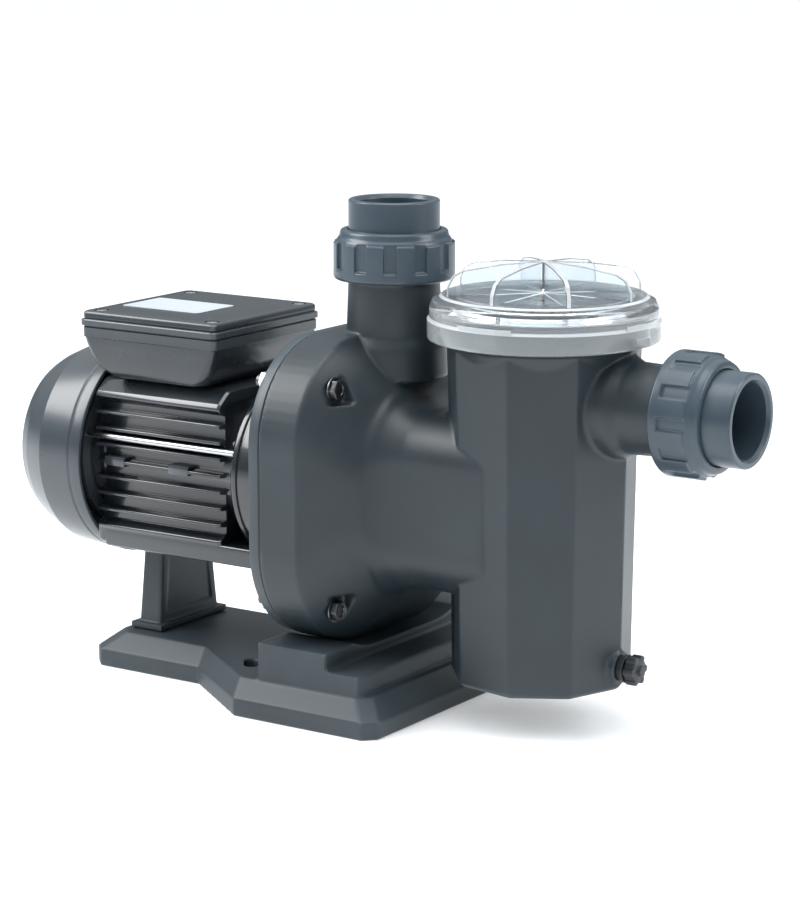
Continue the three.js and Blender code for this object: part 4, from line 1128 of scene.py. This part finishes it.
def housing_fasteners():
    for i in range(1, 5):
        at = (middle(f"housing_bolt_{i}", Y), middle(f"housing_bolt_{i}", Z))
        head = bevelled(prism(f"housing_bolt_{i}_fine", circle(7.15, 6), "X", 2.35, 7.55, at), 0.5)
        washer = rod("washer", 8.2, 2.35, 3.2, centre=at)
        shank = rod("shank", 4, -59, 3, centre=at, segments=24)
        dish = turned("dish", [(0, 6.6), (3.6, 6.7), (4.8, 9), (0, 9)], "X", at, 32)
        carved(fused(head, washer, shank), dish)
        finish(head, BOLT_STEEL, "steel", f"housing_bolt_{i}")
        nut = bevelled(prism(f"housing_nut_{i}_fine", circle(7.45, 6), "X", -54.9, -48.4, at), 0.5)
        carved(nut, rod("hole", 4.2, -60, -40, centre=at, segments=24))
        finish(nut, SURFACES["steel"], "steel", f"housing_nut_{i}")


# ---- build ---------------------------------------------------------------------------------------

base_stand()
support_post()
pump_body()
seal_plate()
motor_housing()
drive_shield()
tie_rods()
fan_cowl()
terminal_box()
terminal_box_lid()
box_screws()
rating_label()
cable_gland()
unions()
o_rings()
strainer_lid()
strainer_basket()
basket_handle()
drain_plug()
housing_fasteners()

dress("rubber", "support_pad", "housing_seal", "terminal_gasket")
dress("inner_plastic", "diffuser", "impeller", "cooling_fan", "terminal_block", edge=0.3)
dress("ceramic", "seal_seat", "run_capacitor", edge=0.3)
dress("steel", "seal_rotor", "motor_shaft", "bearing_front", "bearing_rear", edge=0.3)
dress("laminations", "rotor_core", "stator_core")
dress("copper", "winding_front", "winding_rear", edge=1.0)
dress("motor_paint", "rear_end_shield", edge=0.5)


# ---- camera, light and floor ---------------------------------------------------------------------

CAMERA_AT = (1.10971, -1.64441, 0.57540)
CAMERA_TURN = 33.9 # degrees from looking along +Y
CAMERA_DIP = 11.7 # degrees below level

camera_data = bpy.data.cameras.new("camera")
camera_data.lens = 115.3
camera_data.sensor_width = 36
camera = bpy.data.objects.new("camera", camera_data)
camera.location = CAMERA_AT
camera.rotation_euler = (math.radians(90 - CAMERA_DIP), 0, math.radians(CAMERA_TURN))
SCENE.collection.objects.link(camera)
SCENE.camera = camera
SCENE.view_settings.view_transform = "Standard"


def softbox(name, azimuth, elevation, distance, width, height, power):
    """Area light aimed at the middle of the pump, placed by compass angle from +X."""
    data = bpy.data.lights.new(name, "AREA")
    data.shape = "RECTANGLE"
    data.size = width
    data.size_y = height
    data.energy = power
    light = bpy.data.objects.new(name, data)
    target = Vector((-0.02, 0, 0.17))
    a, e = math.radians(azimuth), math.radians(elevation)
    towards = Vector((math.cos(e) * math.cos(a), math.cos(e) * math.sin(a), math.sin(e)))
    light.location = target + towards * distance
    light.rotation_euler = towards.to_track_quat("Z", "Y").to_euler()
    SCENE.collection.objects.link(light)


softbox("left_box", -150, 38, 1.7, 1.0, 1.0, 26)
softbox("right_box", 18, 30, 1.8, 0.8, 1.2, 16)
softbox("top_box", -60, 84, 1.6, 1.4, 1.0, 14)

world = bpy.data.worlds.new("studio")
world.use_nodes = True
sky = world.node_tree
direction = sky.nodes.new("ShaderNodeTexCoord")
parts = sky.nodes.new("ShaderNodeSeparateXYZ")
dome = sky.nodes.new("ShaderNodeMapRange")
dome.inputs["From Min"].default_value = 0.05
dome.inputs["From Max"].default_value = 0.85
dome.inputs["To Min"].default_value = 0.16
dome.inputs["To Max"].default_value = 1.25
backdrop = sky.nodes["Background"]
backdrop.inputs["Color"].default_value = (0.9, 0.96, 1.0, 1)
sky.links.new(direction.outputs["Generated"], parts.inputs["Vector"])
sky.links.new(parts.outputs["Z"], dome.inputs["Value"])
sky.links.new(dome.outputs["Result"], backdrop.inputs["Strength"])
SCENE.world = world

FLOOR_HALF = 12000
corners = [(-1, -1), (1, -1), (1, 1), (-1, 1)]
floor = make("floor", [(FLOOR_HALF * x, FLOOR_HALF * y, 0) for x, y in corners], [(0, 1, 2, 3)])
floor.location.z = -0.0004
floor.data.materials.append(surface(
    "pale_floor", (0.8, 0.81, 0.82), (0.83, 0.84, 0.85), (0.84, 0.85, 0.86), (0.6, 0.7),
    grain=60, bump=0.02, Emission_Color=(1.0, 1.0, 1.0, 1), Emission_Strength=0.3))
